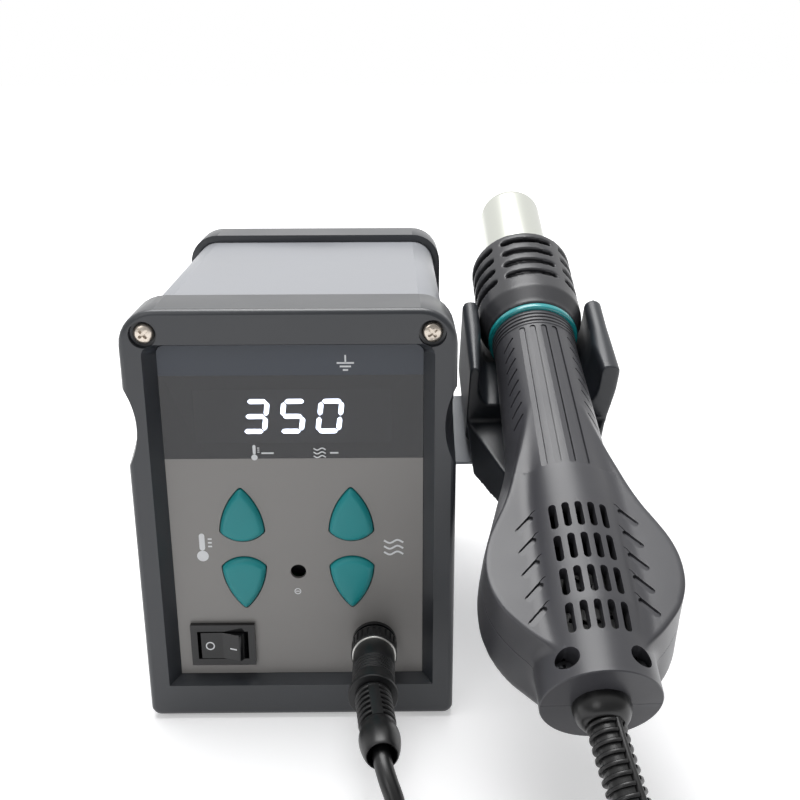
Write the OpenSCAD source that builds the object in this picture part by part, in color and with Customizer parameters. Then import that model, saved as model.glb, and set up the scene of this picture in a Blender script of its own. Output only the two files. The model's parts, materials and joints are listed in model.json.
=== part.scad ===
// Hot air rework station: bench unit, fan handle resting in its side holder, plug and cord.
// Millimetres, +Z up. The origin lies on the bench under the centre of the unit, the front faces -Y.

/* [Bench unit] */
// Width of the end frames
frame_w = 100; // [96:1:124]
// Height of the end frames
frame_h = 138.6; // [136:0.2:160]
// Depth over both end frames
unit_d = 140; // [130:1:190]
// Depth of the front frame
front_d = 19; // [17:0.5:24]
// Depth of the rear frame
rear_d = 18; // [17:0.5:24]
// Radius of the frames' upper corners
top_r = 11; // [8:0.5:14]
// Radius of the frames' lower corners
low_r = 3.2; // [3:0.1:5]
// Rounding of the frames' outer edges
edge_r = 1.6; // [1:0.2:3]
// Wall of the frames where they lap over the sleeve
rim_t = 2.7; // [2:0.1:3.2]
// Thickness of the sleeve's sheet
sheet_t = 1.2; // [0.8:0.1:1.6]
// Height of the frames above the bench
foot_drop = 1.2; // [0.6:0.1:4]
// Diameter of the rubber feet
foot_d = 12; // [8:0.5:16]
// Length of the finger scallop in each side of a frame
scallop_l = 25.5; // [20:0.5:40]
// Depth of the finger scallop at the face
scallop_d = 3.3; // [2:0.1:4.6]
// Height of the scallop's middle above the frame's underside
scallop_z = 102; // [90:0.5:112]

/* [Panel] */
// Width of the sunk panel
panel_w = 80; // [78:0.5:83]
// Height of the sunk panel
panel_h = 113.5; // [112:0.5:116]
// Height of the panel's lower edge above the frame's underside
panel_low = 13; // [11:0.5:14]
// Depth of the panel below the frame's face
recess_d = 5; // [3.5:0.1:6]
// Slant of the recess's sides
recess_slant = 3.1; // [1:0.1:3.5]
// Radius of the panel's upper corners
panel_r = 2.5; // [1.5:0.1:4]
// Height of the header strip
header_h = 9.5; // [7:0.5:12]
// Height of the display window
window_h = 27; // [24:0.5:28]
// Thickness of the strip, the window and the control plate
plate_t = 1.4; // [1:0.1:2]
// Thickness of the carrier behind them
carrier_t = 2; // [1.5:0.1:2.6]
// Distance from the carrier to the front circuit board
board_gap = 8; // [7.5:0.1:10]
// Height of a display figure
digit_h = 11.3; // [8:0.1:13]
// Distance between two display figures
digit_pitch = 11.4; // [10.5:0.1:14]

/* [Controls] */
// Width of a button
button_w = 14; // [11:0.5:16]
// Height of a button
button_h = 18.4; // [16:0.2:19.5]
// How far a button stands proud of the panel
button_proud = 1.9; // [1.2:0.1:2.6]
// Travel of a button
button_travel = 0.8; // [0.4:0.1:1]
// Distance between the two columns of buttons
button_dx = 34.6; // [30:0.2:40]
// Distance between the two rows of buttons
button_dz = 24.1; // [23:0.1:26]
// Running gap around buttons and rocker
slide_gap = 0.3; // [0.2:0.05:0.4]
// Diameter of the calibration hole
trim_hole_d = 5; // [3.5:0.1:6]
// Width of the power switch's frame
switch_w = 21; // [20:0.5:24]
// Height of the power switch's frame
switch_h = 15; // [14:0.5:18]
// Radius of the rocker about its pivot
rocker_r = 8; // [7.5:0.1:8.4]
// Tilt of the rocker from one side to the other
rocker_tilt = 20; // [14:1:22]

/* [Socket and plug] */
// Diameter of the panel socket's thread
socket_d = 12; // [10:0.5:12.5]
// Distance from the socket's axis to the panel's middle
socket_x = 24.2; // [22:0.2:27]
// Outer diameter of the coupling ring
ring_d = 14.8; // [14.8:0.1:17]
// Length of the coupling ring
ring_l = 7.2; // [6.8:0.2:12]
// Diameter of the plug's shell
plug_d = 13.4; // [12.8:0.2:14.6]
// Diameter of the plug's slotted boot
boot_d = 11.2; // [10:0.2:12]
// Length of the plug behind the coupling ring
plug_l = 50; // [46:1:60]
// Diameter of the handle's cord
cord_d = 5.4; // [4.6:0.1:6]

/* [Handle] */
// Tilt of the handle above the bench, in degrees
handle_tilt = 24.5; // [20:0.5:30]
// Turn of the handle and its holder towards the unit, in degrees
handle_toe = 1.2; // [0:0.1:2]
// Distance from the unit's side to the handle's axis
handle_out = 34.6; // [34:0.2:44]
// Height of the handle's seat below the top of the frames
seat_down = 29.6; // [26:0.2:34]
// Distance of the handle's seat in front of the unit's middle
seat_front = 1.5; // [-4:0.5:6]
// Length of the moulded shell, tail face to coloured ring
shell_l = 146; // [140:1:160]
// Radius of the tail
tail_r = 16.3; // [15:0.1:17]
// Radius of the grip at the coloured ring
grip_r = 14.8; // [14:0.1:15.2]
// Radius of the fan housing
drum_r = 30.6; // [28.5:0.1:31]
// Distance from the tail face to the fan's axis
drum_t = 39.5; // [38:0.5:42]
// Distance from the fan's axis to the shell's underside
drum_back = 14; // [13:0.5:16]
// Wall of the moulded shell
shell_t = 2.5; // [2:0.1:2.6]
// Radius of the head collar
collar_r = 18.9; // [18:0.1:19]
// Length of the head collar
collar_l = 39.6; // [36:0.2:44]
// Length of the coloured ring
ring_t = 2.6; // [2:0.1:4]
// Outer diameter of the heater tube, which nozzles clamp on
tube_d = 24; // [22:0.5:24]
// Length of tube that stands out of the collar
tube_out = 41; // [34:1:50]
// Wall of the heater tube
tube_t = 0.8; // [0.6:0.1:1.2]
// Blades on the fan
blades = 24; // [16:1:28]
// Bend of the relief boot, in degrees
relief_bend = 18; // [8:1:24]
// Lean of the relief boot away from the unit, in degrees
relief_lean = 4; // [0:0.5:6]

/* [Holder] */
// Length of the holder's channel
channel_l = 37; // [30:1:40]
// Distance from the channel's far end to the handle's seat
channel_past = 14; // [12:0.5:16]
// Gap between the head collar and each arm
arm_gap = 0.4; // [0.4:0.1:1]
// Thickness of the holder's arms
arm_t = 5.7; // [4:0.1:6.5]
// Height of the arms above the handle's axis
arm_up = 8; // [5:0.5:12]
// Depth of the holder's underside below the handle's axis
holder_drop = 30; // [29:0.5:34]
// Thickness of the bracket's sheet
bracket_t = 1.2; // [1:0.1:1.6]
// Distance between the two bracket screws
bracket_dy = 18; // [14:0.5:20]
// Diameter of the bracket's screw holes
screw_hole_d = 3.2; // [3.2:0.1:3.6]

/* [Hidden] */
$fn = 64;

// Levels of the bench unit
fit = 0.2;
half_w = frame_w / 2;
y_front = -unit_d / 2;
y_back = unit_d / 2;
z_under = foot_drop;
z_top = foot_drop + frame_h;
sleeve_in = rim_t + fit;
sleeve_x = half_w - sleeve_in;
sleeve_z0 = z_under + sleeve_in;
sleeve_z1 = z_top - sleeve_in;
lap_at = 12;
foot_x = half_w - 14;
foot_y = unit_d / 2 - 26;

// Levels of the panel, front to back
panel_z0 = z_under + panel_low;
panel_z1 = panel_z0 + panel_h;
header_z = panel_z1 - header_h;
window_z = header_z - window_h;
y_panel = y_front + recess_d;
y_carrier = y_panel + plate_t;
y_inside = y_carrier + carrier_t;
y_board = y_inside + board_gap;
board_t = 1.6;
carrier_lap = 3.4;
display_w = 60;
display_h = 17;
display_z = (window_z + header_z) / 2;
figure_t = 0.3;

// Corner screws of both frames
corner_in = 7.5;
screw_r = 1.5;
head_r = 3.1;
head_t = 1.9;
sink_r = 4.1;
sink_d = 2.6;
boss_r = 3.9;
boss_y = lap_at;

// Places on the control plate, measured from its lower edge
button_row = 34.5;
trim_z = panel_z0 + 37.7;
switch_x = -25.4;
switch_z = panel_z0 + 11.6;
socket_z = panel_z0 + 12;
stem_r = 1.75;
flange_t = 1;
tact_t = 3.6;
stem_in = 0.3;

// Power switch
pivot_back = 1.8;
rocker_h = 9.6;
switch_lip = 1.6;
switch_deep = 15;
switch_wall = 1.1;

// Socket, coupling ring and plug, as distances in front of the panel
socket_flange = 1.5;
ring_at = 2;
socket_out = ring_at + 5.5;
plug_flange = 1.6;
boot_l = 16;
bell_l = 12;
bell_hole = 7;
boot_lean = 6;
y_bell = y_panel - ring_at - ring_l - plug_l;
y_boot = y_bell + bell_l + boot_l;

// Handle frame: x across, y from the tail to the nozzle, z out of the upper side
seat = [sleeve_x + handle_out, -seat_front, z_top - seat_down];
ct = cos(handle_tilt);
st = sin(handle_tilt);
ch = cos(handle_toe);
sh = sin(handle_toe);
function to_bench(p) = let(
    q = [p[0], p[1] - shell_l, p[2]],
    a = q[1] * ct - q[2] * st,
    b = q[1] * st + q[2] * ct)
    [seat[0] + q[0] * ch - a * sh, seat[1] + q[0] * sh + a * ch, seat[2] + b];
function turn_bench(v) = let(
    a = v[1] * ct - v[2] * st,
    b = v[1] * st + v[2] * ct)
    [v[0] * ch - a * sh, v[0] * sh + a * ch, b];
run_gap = 0.3;
ring_r = grip_r + 1.3;
bore_r = tube_d / 2 + run_gap;
collar_at = shell_l + ring_t;
tube_in = 9;
tube_at = shell_l - 5;
tube_l = collar_at + collar_l + tube_out - tube_at;
rim_z = 8;
wing_z = 10.8;
fan_r = drum_r - shell_t - 4.8;
chamber_r = drum_r - shell_t - 0.8;
chamber_top = rim_z - 0.5;
chamber_low = -(drum_back - shell_t - 0.5);
motor_h = 5.6;
wheel_z = chamber_low + motor_h + 0.6;
shaft_r = 1.5;
tail_screw_x = 9.6;
tail_screw_t = 6;
relief_r = 5.1;
relief_flange = 6;
relief_R = 110;
relief_core = 4;
relief_rib = 5.2;
relief_turn = 40;
relief_root = 4;
function leaned(v) = [v[0] * cos(relief_lean) - v[1] * sin(relief_lean),
    v[0] * sin(relief_lean) + v[1] * cos(relief_lean), v[2]];
function turned(down, along) = leaned([down * sin(relief_turn), -along, -down * cos(relief_turn)]);
relief_end = turned(relief_R * (1 - cos(relief_bend)), relief_R * sin(relief_bend))
    - [0, relief_root, 0];
relief_dir = turned(sin(relief_bend), cos(relief_bend));

// Holder, in the handle frame
channel_t1 = shell_l + channel_past;
channel_t0 = channel_t1 - channel_l;
arm_in = collar_r + arm_gap;
arm_out = arm_in + arm_t;
saddle_t1 = shell_l - run_gap;
saddle_top = -9;
nut_t = 2;
tongue_top = -17;
magnet_r = 3;
magnet_t = 2.5;
magnet_at = channel_t0 + 11;
bracket_z = sleeve_z1 - 49.9;
bracket_y = -seat_front - 4.9;
bracket_t0 = channel_t0 - 8;
bracket_t1 = channel_t1 - 10;
holder_screw_t = [channel_t0 + 2, channel_t1 - 16];

// Points along the cord, on the way to and from its coil
coil_at = [60, -172];
coil_r = 32;
coil_n = 2;
cord_from = boot_l + bell_l - bell_hole + 0.2;
boot_at = [socket_x, y_boot, socket_z];
boot_way = [sin(boot_lean), -cos(boot_lean), 0];
front_pts = [boot_at + cord_from * boot_way, boot_at + (cord_from + 3) * boot_way - [0, 0, 0.08],
    [27.05, y_bell + 0.6, socket_z - 0.7], [27.75, -126.9, 24.3], [28.9, -130, 22.2],
    [30.4, -132.8, 19.2], [31.6, -135.6, 15.4], [32.1, -138.9, 11], [31.5, -143.4, 6.7],
    [30, -149.3, 3.6], [29.1, -156.2, cord_d / 2]];
relief_w = to_bench(relief_end);
relief_v = turn_bench(relief_dir);
back_pts = [relief_w, relief_w + 5 * relief_v, [93, -178.2, 21.8], [93.2, -185.6, 16],
    [90, -192.6, 11.4], [83.4, -197.6, 1.5 * cord_d]];

// Shapes used by several pieces
module y_cyl(x, z, y0, y1, r) {
    translate([x, y0, z]) rotate([-90, 0, 0]) cylinder(r = r, h = y1 - y0);
}

module x_cyl(y, z, x0, x1, r) {
    translate([x0, y, z]) rotate([0, 90, 0]) cylinder(r = r, h = x1 - x0);
}

module span(x0, x1, y0, y1, z0, z1) {
    translate([x0, y0, z0]) cube([x1 - x0, y1 - y0, z1 - z0]);
}

module y_extrude(y0, y1) {
    translate([0, y1, 0]) rotate([90, 0, 0]) linear_extrude(y1 - y0) children();
}

module rounded(w, z0, z1, rt, rb) {
    translate([-w, z0 + rb]) square([2 * w, z1 - z0 - rb - rt]);
    translate([rt - w, z1 - rt]) square([2 * (w - rt), rt]);
    translate([rb - w, z0]) square([2 * (w - rb), rb]);
    for (s = [-1, 1]) {
        translate([s * (w - rt), z1 - rt]) circle(rt);
        translate([s * (w - rb), z0 + rb]) circle(rb);
    }
}

// Square lower corners, rounded upper ones
module arched(w, z0, z1, rt) {
    translate([-w, z0]) square([2 * w, z1 - z0 - rt]);
    translate([rt - w, z1 - rt]) square([2 * (w - rt), rt]);
    for (s = [-1, 1])
        translate([s * (w - rt), z1 - rt]) circle(rt);
}

module frame_outline(inset) {
    rounded(half_w - inset, z_under + inset, z_top - inset,
        max(top_r - inset, 0.8), max(low_r - inset, 0.8));
}

module on_handle() {
    translate(seat) rotate([0, 0, handle_toe]) rotate([handle_tilt, 0, 0])
        translate([0, -shell_l, 0]) children();
}

module t_turn() {
    rotate([-90, 0, 0]) rotate_extrude() children();
}

module t_cyl(t0, t1, r) {
    translate([0, t0, 0]) rotate([-90, 0, 0]) cylinder(r = r, h = t1 - t0);
}

// Cross recess of a screw head whose face looks along +Z
module cross_recess(r, deep) {
    for (a = [0, 90])
        rotate([0, 0, a]) translate([-r, -0.4, -deep]) cube([2 * r, 0.8, deep + 1]);
}

// Pan head standing on z = 0
module pan_head() {
    difference() {
        rotate_extrude() polygon([[0, 0], [head_r, 0], [head_r, head_t - 1], [head_r - 0.4,
            head_t - 0.4], [head_r - 1.2, head_t], [0, head_t]]);
        translate([0, 0, head_t]) cross_recess(1.8, 1.1);
    }
}

// End frames: a rounded block with a sunk opening, hollow behind, with the finger scallops
module frame_block(d) {
    hull() {
        for (a = [0:22.5:90])
            y_extrude(edge_r * (1 - sin(a)), edge_r * (1 - sin(a)) + 0.1)
                frame_outline(edge_r * (1 - cos(a)), $fn = 32);
        y_extrude(d - 0.1, d) frame_outline(0, $fn = 32);
    }
}

module recess() {
    hull() {
        y_extrude(-0.1, 0) arched(panel_w / 2 + recess_slant + fit, panel_z0 - recess_slant / 2,
            panel_z1 + recess_slant / 2, panel_r + 1, $fn = 32);
        y_extrude(recess_d - 0.1, recess_d) arched(panel_w / 2 + fit / 2, panel_z0 - fit / 2,
            panel_z1 + fit / 2, panel_r, $fn = 32);
    }
}

module scallops() {
    R = (scallop_l * scallop_l / 4 + scallop_d * scallop_d) / (2 * scallop_d);
    fade = atan(scallop_d / front_d);
    for (s = [-1, 1])
        translate([s * (half_w - scallop_d + R), -1, z_under + scallop_z])
            rotate([-90, 0, -s * fade]) translate([0, 0, -R / 2]) cylinder(r = R, h = front_d + R);
}

module end_frame(d) {
    deep = recess_d + plate_t;
    difference() {
        union() {
            difference() {
                frame_block(d);
                y_extrude(lap_at, d + 1) frame_outline(rim_t);
                span(-panel_w / 2 - carrier_lap - fit, panel_w / 2 + carrier_lap + fit, deep,
                    lap_at + 1, panel_z0 - carrier_lap - fit, panel_z1 + carrier_lap + fit);
                y_extrude(recess_d - 0.5, deep + 1)
                    arched(panel_w / 2 + fit / 2, panel_z0 - fit / 2, panel_z1 + fit / 2, panel_r);
            }
            for (s = [-1, 1])
                y_cyl(s * (half_w - corner_in), z_top - corner_in, sink_d, boss_y, boss_r);
        }
        recess();
        scallops();
        for (s = [-1, 1]) {
            y_cyl(s * (half_w - corner_in), z_top - corner_in, -1, sink_d, sink_r);
            y_cyl(s * (half_w - corner_in), z_top - corner_in, 0, boss_y + 1, screw_r + 0.15);
        }
    }
}

module frame_screws() {
    for (s = [-1, 1])
        translate([s * (half_w - corner_in), 0, z_top - corner_in]) {
            translate([0, sink_d, 0]) rotate([90, 0, 0]) pan_head();
            y_cyl(0, 0, sink_d, boss_y + 5, screw_r);
        }
}

module front_frame() {
    color("#3c4148") translate([0, y_front, 0]) end_frame(front_d);
}

module rear_frame() {
    color("#3c4148") translate([0, y_back, 0]) mirror([0, 1, 0]) end_frame(rear_d);
}

module front_screws() {
    color("#b9b6b0") translate([0, y_front, 0]) frame_screws();
}

module rear_screws() {
    color("#b9b6b0") translate([0, y_back, 0]) mirror([0, 1, 0]) frame_screws();
}

// One-piece sleeve with a screw lug in each upper corner and holes for a bracket on either side
module sleeve() {
    y0 = y_front + lap_at + fit;
    y1 = y_back - lap_at - fit;
    lug_y = boss_y + 0.3;
    color("#7b7f86") difference() {
        union() {
            difference() {
                y_extrude(y0, y1) frame_outline(sleeve_in);
                y_extrude(y0 - 1, y1 + 1) frame_outline(sleeve_in + sheet_t);
            }
            for (sx = [-1, 1], y = [y_front + lug_y, y_back - lug_y - 2])
                intersection() {
                    span(sx * (half_w - corner_in) - 8, sx * (half_w - corner_in) + 8, y, y + 2,
                        z_top - corner_in - 6, z_top);
                    y_extrude(y, y + 2) frame_outline(sleeve_in + sheet_t / 2);
                }
        }
        for (s = [-1, 1])
            y_cyl(s * (half_w - corner_in), z_top - corner_in, y0 - 1, y1 + 1, screw_r + 0.1);
        for (dy = [-1, 1]) {
            x_cyl(bracket_y + dy * bracket_dy / 2, bracket_z, -sleeve_x - 1, 0, screw_hole_d / 2);
            x_cyl(bracket_y + dy * bracket_dy / 2, bracket_z, 0, sleeve_x + 1,
                screw_hole_d / 2 + 0.4);
        }
    }
}

module feet() {
    color("#26262a") for (sx = [-1, 1], sy = [-1, 1])
        translate([sx * foot_x, sy * foot_y, 0]) difference() {
            cylinder(r1 = foot_d / 2 - 0.6, r2 = foot_d / 2, h = sleeve_z0);
            translate([0, 0, -0.01]) cylinder(r = foot_d / 5, h = 0.6);
        }
}

// Rear panel with its mains inlet
inlet_x = 18;
inlet_z = panel_z0 + 25;
inlet_w = 27;
inlet_h = 19.8;
inlet_lip = 2;
inlet_deep = 16;

module back_plate() {
    color("#8c9096") difference() {
        span(-panel_w / 2, panel_w / 2, y_back - recess_d - plate_t, y_back - recess_d, panel_z0,
            panel_z1 - 2.6);
        span(inlet_x - inlet_w / 2 - fit, inlet_x + inlet_w / 2 + fit, 0, y_back,
            inlet_z - inlet_h / 2 - fit, inlet_z + inlet_h / 2 + fit);
    }
}

module mains_inlet() {
    yr = y_back - recess_d;
    color("#1d1d20") difference() {
        union() {
            span(inlet_x - inlet_w / 2 - inlet_lip, inlet_x + inlet_w / 2 + inlet_lip, yr, yr + 2.4,
                inlet_z - inlet_h / 2 - inlet_lip, inlet_z + inlet_h / 2 + inlet_lip);
            span(inlet_x - inlet_w / 2, inlet_x + inlet_w / 2, yr - inlet_deep, yr,
                inlet_z - inlet_h / 2, inlet_z + inlet_h / 2);
        }
        translate([inlet_x, 0, inlet_z]) y_extrude(yr - inlet_deep + 2, yr + 3)
            polygon([[-12, -8], [12, -8], [12, 3.4], [7.6, 8], [-7.6, 8], [-12, 3.4]]);
    }
}

module inlet_pins() {
    yr = y_back - recess_d;
    color("#c9c9c4") for (p = [[-7, -1.5], [7, -1.5], [0, 2]])
        span(inlet_x + p[0] - 1, inlet_x + p[0] + 1, yr - inlet_deep + 2, yr - 3.4,
            inlet_z + p[1] - 2, inlet_z + p[1] + 2);
}

// Sunk front panel
module panel_carrier() {
    x = panel_w / 2 + carrier_lap;
    color("#2c2e33") difference() {
        union() {
            span(-x, x, y_carrier, y_inside, panel_z0 - carrier_lap, panel_z1 + carrier_lap);
            for (sx = [-1, 1], z = [board_z0 + 4, board_z1 - 4])
                y_cyl(sx * (board_w / 2 - 4), z, y_inside - 0.5, y_board, 2.6);
        }
        for (s = [-1, 1])
            y_cyl(s * (half_w - corner_in), z_top - corner_in, y_carrier - 1, y_inside + 1,
                boss_r + fit);
        span(-display_w / 2 - fit, display_w / 2 + fit, y_carrier - 1, y_inside + 1,
            display_z - display_h / 2 - fit, display_z + display_h / 2 + fit);
        for (sx = [-1, 1], sz = [-1, 1])
            at_button(sx, sz) y_extrude(y_carrier - 1, y_inside + 1)
                square([button_w + 2, button_h + 2], center = true);
        y_cyl(0, trim_z, y_carrier - 1, y_inside + 1, trim_hole_d / 2 + 1);
        switch_hole(y_carrier - 1, y_inside + 1);
        y_cyl(socket_x, socket_z, y_carrier - 1, y_inside + 1, socket_d / 2 + fit);
    }
}

module header_strip() {
    color("#4b5058") y_extrude(y_panel, y_carrier)
        arched(panel_w / 2, header_z, panel_z1, panel_r);
}

module display_window() {
    color("#2b2c30") span(-panel_w / 2, panel_w / 2, y_panel, y_carrier, window_z, header_z);
}

// One segment bar of a figure, lying along X, centred
module bar(l, w) {
    polygon([[-l / 2, 0], [-l / 2 + w / 2, w / 2], [l / 2 - w / 2, w / 2], [l / 2, 0],
        [l / 2 - w / 2, -w / 2], [-l / 2 + w / 2, -w / 2]]);
}

// Segments a to g that light for the figures 3, 5 and 0
lit = [[1, 1, 1, 1, 0, 0, 1], [1, 0, 1, 1, 0, 1, 1], [1, 1, 1, 1, 1, 1, 0]];

module figure_bars(k) {
    h = digit_h / 2 - 0.8;
    w = digit_h * 0.56;
    lean = 0.14;
    places = [[0, h, 0], [w / 2, h / 2, 90], [w / 2, -h / 2, 90], [0, -h, 0],
        [-w / 2, -h / 2, 90], [-w / 2, h / 2, 90], [0, 0, 0]];
    for (i = [0:6])
        if (lit[k][i] == 1)
            translate([places[i][0] + places[i][1] * lean, places[i][1]])
                rotate(places[i][2] == 0 ? 0 : 90 - atan(lean))
                    bar((places[i][2] == 0 ? w : h) - 0.4, 1.5);
}

module display_figures() {
    color("#dfe6f2") translate([0, 0, display_z])
        y_extrude(y_carrier, y_carrier + figure_t)
            for (k = [0:2])
                translate([(k - 1) * digit_pitch, 0]) figure_bars(k);
}

module display_module() {
    color("#1b1b1f") span(-display_w / 2, display_w / 2, y_carrier + figure_t, y_board,
        display_z - display_h / 2, display_z + display_h / 2);
}

// A button's outline: pointed end up, broad curved end down, grown by g
module pick(g) {
    low = 0.18 * button_h;
    w = button_w / 2;
    z0 = -button_h / 2;
    side_h = button_h - low;
    chord = norm([w, side_h]);
    side_R = 1.35 * chord;
    reach = sqrt(side_R * side_R - chord * chord / 4);
    cx = w / 2 - reach * side_h / chord;
    cz = z0 + low + side_h / 2 - reach * w / chord;
    base_R = (w * w + low * low) / (2 * low);
    offset(r = 0.7 + g) offset(delta = -0.7) intersection() {
        translate([cx, cz]) circle(side_R);
        translate([-cx, cz]) circle(side_R);
        union() {
            translate([0, z0 + base_R]) circle(base_R);
            translate([-w, z0 + low]) square([2 * w, side_h]);
        }
    }
}

module at_button(sx, sz) {
    translate([sx * button_dx / 2, 0, panel_z0 + button_row + 11.4 + sz * button_dz / 2])
        mirror([0, 0, sz > 0 ? 0 : 1]) children();
}

module button(sx, sz) {
    tip = y_board - tact_t + stem_in;
    color("#23827d") at_button(sx, sz) {
        hull() {
            y_extrude(y_panel - button_proud, y_panel - button_proud + 0.02) pick(-1.6, $fn = 80);
            y_extrude(y_panel - button_proud + 0.4, y_panel - button_proud + 0.42)
                pick(-0.6, $fn = 80);
            y_extrude(y_panel - button_proud + 1.1, y_inside + slide_gap + 0.1)
                pick(0, $fn = 80);
        }
        span(-button_w / 2 - 1.6, button_w / 2 + 1.6, y_inside + slide_gap,
            y_inside + slide_gap + flange_t, -4, 3);
        y_cyl(0, 0, y_inside + slide_gap, tip, stem_r);
    }
}

module button_temp_up() {
    button(-1, 1);
}

module button_temp_down() {
    button(-1, -1);
}

module button_air_up() {
    button(1, 1);
}

module button_air_down() {
    button(1, -1);
}

module switch_hole(y0, y1) {
    span(switch_x - switch_w / 2 + 1.1 - fit, switch_x + switch_w / 2 - 1.1 + fit, y0, y1,
        switch_z - switch_h / 2 + 1.1 - fit, switch_z + switch_h / 2 - 1.1 + fit);
}

module control_plate() {
    color("#78756f") difference() {
        span(-panel_w / 2, panel_w / 2, y_panel, y_carrier, panel_z0, window_z);
        for (sx = [-1, 1], sz = [-1, 1])
            at_button(sx, sz) y_extrude(y_panel - 1, y_carrier + 1) pick(slide_gap, $fn = 80);
        y_cyl(0, trim_z, y_panel - 1, y_carrier + 1, trim_hole_d / 2);
        switch_hole(y_panel - 1, y_carrier + 1);
        y_cyl(socket_x, socket_z, y_panel - 1, y_carrier + 1, socket_d / 2 + fit);
    }
}

// Front circuit board with what it carries
board_w = 78;
board_z0 = panel_z0 + 25;
board_z1 = panel_z1 - 1;

module front_board() {
    color("#2e6b46") span(-board_w / 2, board_w / 2, y_board, y_board + board_t, board_z0, board_z1);
}

module tact_switches() {
    color("#2a2a2c") for (sx = [-1, 1], sz = [-1, 1])
        at_button(sx, sz) difference() {
            span(-3, 3, y_board - tact_t, y_board, -3, 3);
            y_cyl(0, 0, y_board - tact_t - 1, y_board - tact_t + stem_in + button_travel + 0.4,
                stem_r + 0.2);
        }
}

module trimmer_body() {
    color("#2f5fa8") difference() {
        span(-3.5, 3.5, y_board - 5.6, y_board, trim_z - 3.5, trim_z + 3.5);
        y_cyl(0, trim_z, y_board - 6, y_board - 4.2, 2.35);
    }
}

module trimmer_rotor() {
    color("#c7a24a") difference() {
        y_cyl(0, trim_z, y_board - 5.6, y_board - 4.25, 2.3);
        span(-1.7, 1.7, y_board - 6, y_board - 5, trim_z - 0.3, trim_z + 0.3);
    }
}

// Power switch: snap-in frame and a rocker that turns about a vertical pin
module switch_frame() {
    hx = switch_w / 2;
    hz = switch_h / 2;
    ix = rocker_r + slide_gap;
    iz = rocker_h / 2 + slide_gap;
    color("#1e1e21") difference() {
        union() {
            span(switch_x - hx, switch_x + hx, y_panel - switch_lip, y_panel, switch_z - hz,
                switch_z + hz);
            span(switch_x - hx + switch_wall, switch_x + hx - switch_wall, y_panel - 0.1,
                y_panel + switch_deep, switch_z - hz + switch_wall, switch_z + hz - switch_wall);
        }
        span(switch_x - ix, switch_x + ix, y_panel - switch_lip - 1, y_panel + switch_deep - 4,
            switch_z - iz, switch_z + iz);
        y_pin = y_panel + pivot_back;
        translate([switch_x, y_pin, switch_z - iz - 0.7]) cylinder(r = 1.05, h = 2 * iz + 1.4);
    }
}

module switch_rocker() {
    px = [switch_x, y_panel + pivot_back, 0];
    front = pivot_back + switch_lip + 0.3;
    color("#161618") translate(px) {
        translate([0, 0, switch_z - rocker_h / 2]) linear_extrude(rocker_h)
            intersection() {
                circle(rocker_r);
                polygon([[-9, -front], [0, -front], [9, -front - 9 * tan(rocker_tilt)], [9, 0],
                    [3, 3.4], [-3, 3.4], [-9, 0]]);
            }
        translate([0, 0, switch_z - rocker_h / 2 - slide_gap - 0.5])
            cylinder(r = 1, h = rocker_h + 2 * slide_gap + 1);
    }
}

// Panel socket, the plug's coupling ring and the plug itself
module panel_socket() {
    color("#202124") difference() {
        union() {
            y_cyl(socket_x, socket_z, y_panel - socket_flange, y_panel, socket_d / 2 + 1.2);
            y_cyl(socket_x, socket_z, y_panel - socket_out, y_inside + 7, socket_d / 2);
        }
        y_cyl(socket_x, socket_z, y_panel - socket_out - 1, y_panel - 2, socket_d / 2 - 1.2);
    }
}

module socket_nut() {
    color("#b8b8b4") difference() {
        translate([socket_x, y_inside, socket_z]) rotate([-90, 0, 0])
            cylinder(r = socket_d / 2 + 3.4, h = 2.6, $fn = 6);
        y_cyl(socket_x, socket_z, y_inside - 1, y_inside + 4, socket_d / 2 + 0.05);
    }
}

module coupling_ring() {
    y1 = y_panel - ring_at;
    y0 = y1 - ring_l;
    color("#1f2023") difference() {
        translate([socket_x, y0, socket_z]) rotate([-90, 0, 0]) rotate_extrude()
            polygon([[0, 0], [ring_d / 2 - 0.5, 0], [ring_d / 2, 0.5], [ring_d / 2, ring_l - 1.2],
                [ring_d / 2 - 0.5, ring_l], [0, ring_l]]);
        y_cyl(socket_x, socket_z, y1 - 6, y1 + 1, socket_d / 2 + 0.08);
        y_cyl(socket_x, socket_z, y0 - 1, y1, socket_d / 2 - 1.4);
        for (a = [0:15:359])
            translate([socket_x, 0, socket_z]) rotate([0, a, 0])
                span(ring_d / 2 - 0.4, ring_d / 2 + 1, y0 + 1.4, y1 - 1.6, -0.35, 0.35);
    }
}

module plug_shell() {
    y1 = y_panel - ring_at - ring_l - run_gap;
    color("#222326") difference() {
        union() {
            y_cyl(socket_x, socket_z, y_boot, y1, plug_d / 2);
            y_cyl(socket_x, socket_z, y_boot, y_boot + plug_flange, plug_d / 2 + 0.9);
            y_cyl(socket_x, socket_z, y1 - 1, y_panel - 2.4, socket_d / 2 - 1.5);
        }
        for (i = [0:4])
            translate([socket_x, y_boot + plug_flange + 5 + 1.5 * i, socket_z]) rotate([-90, 0, 0])
                rotate_extrude() translate([plug_d / 2 - 0.4, 0]) square([2, 0.6]);
    }
}

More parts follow.
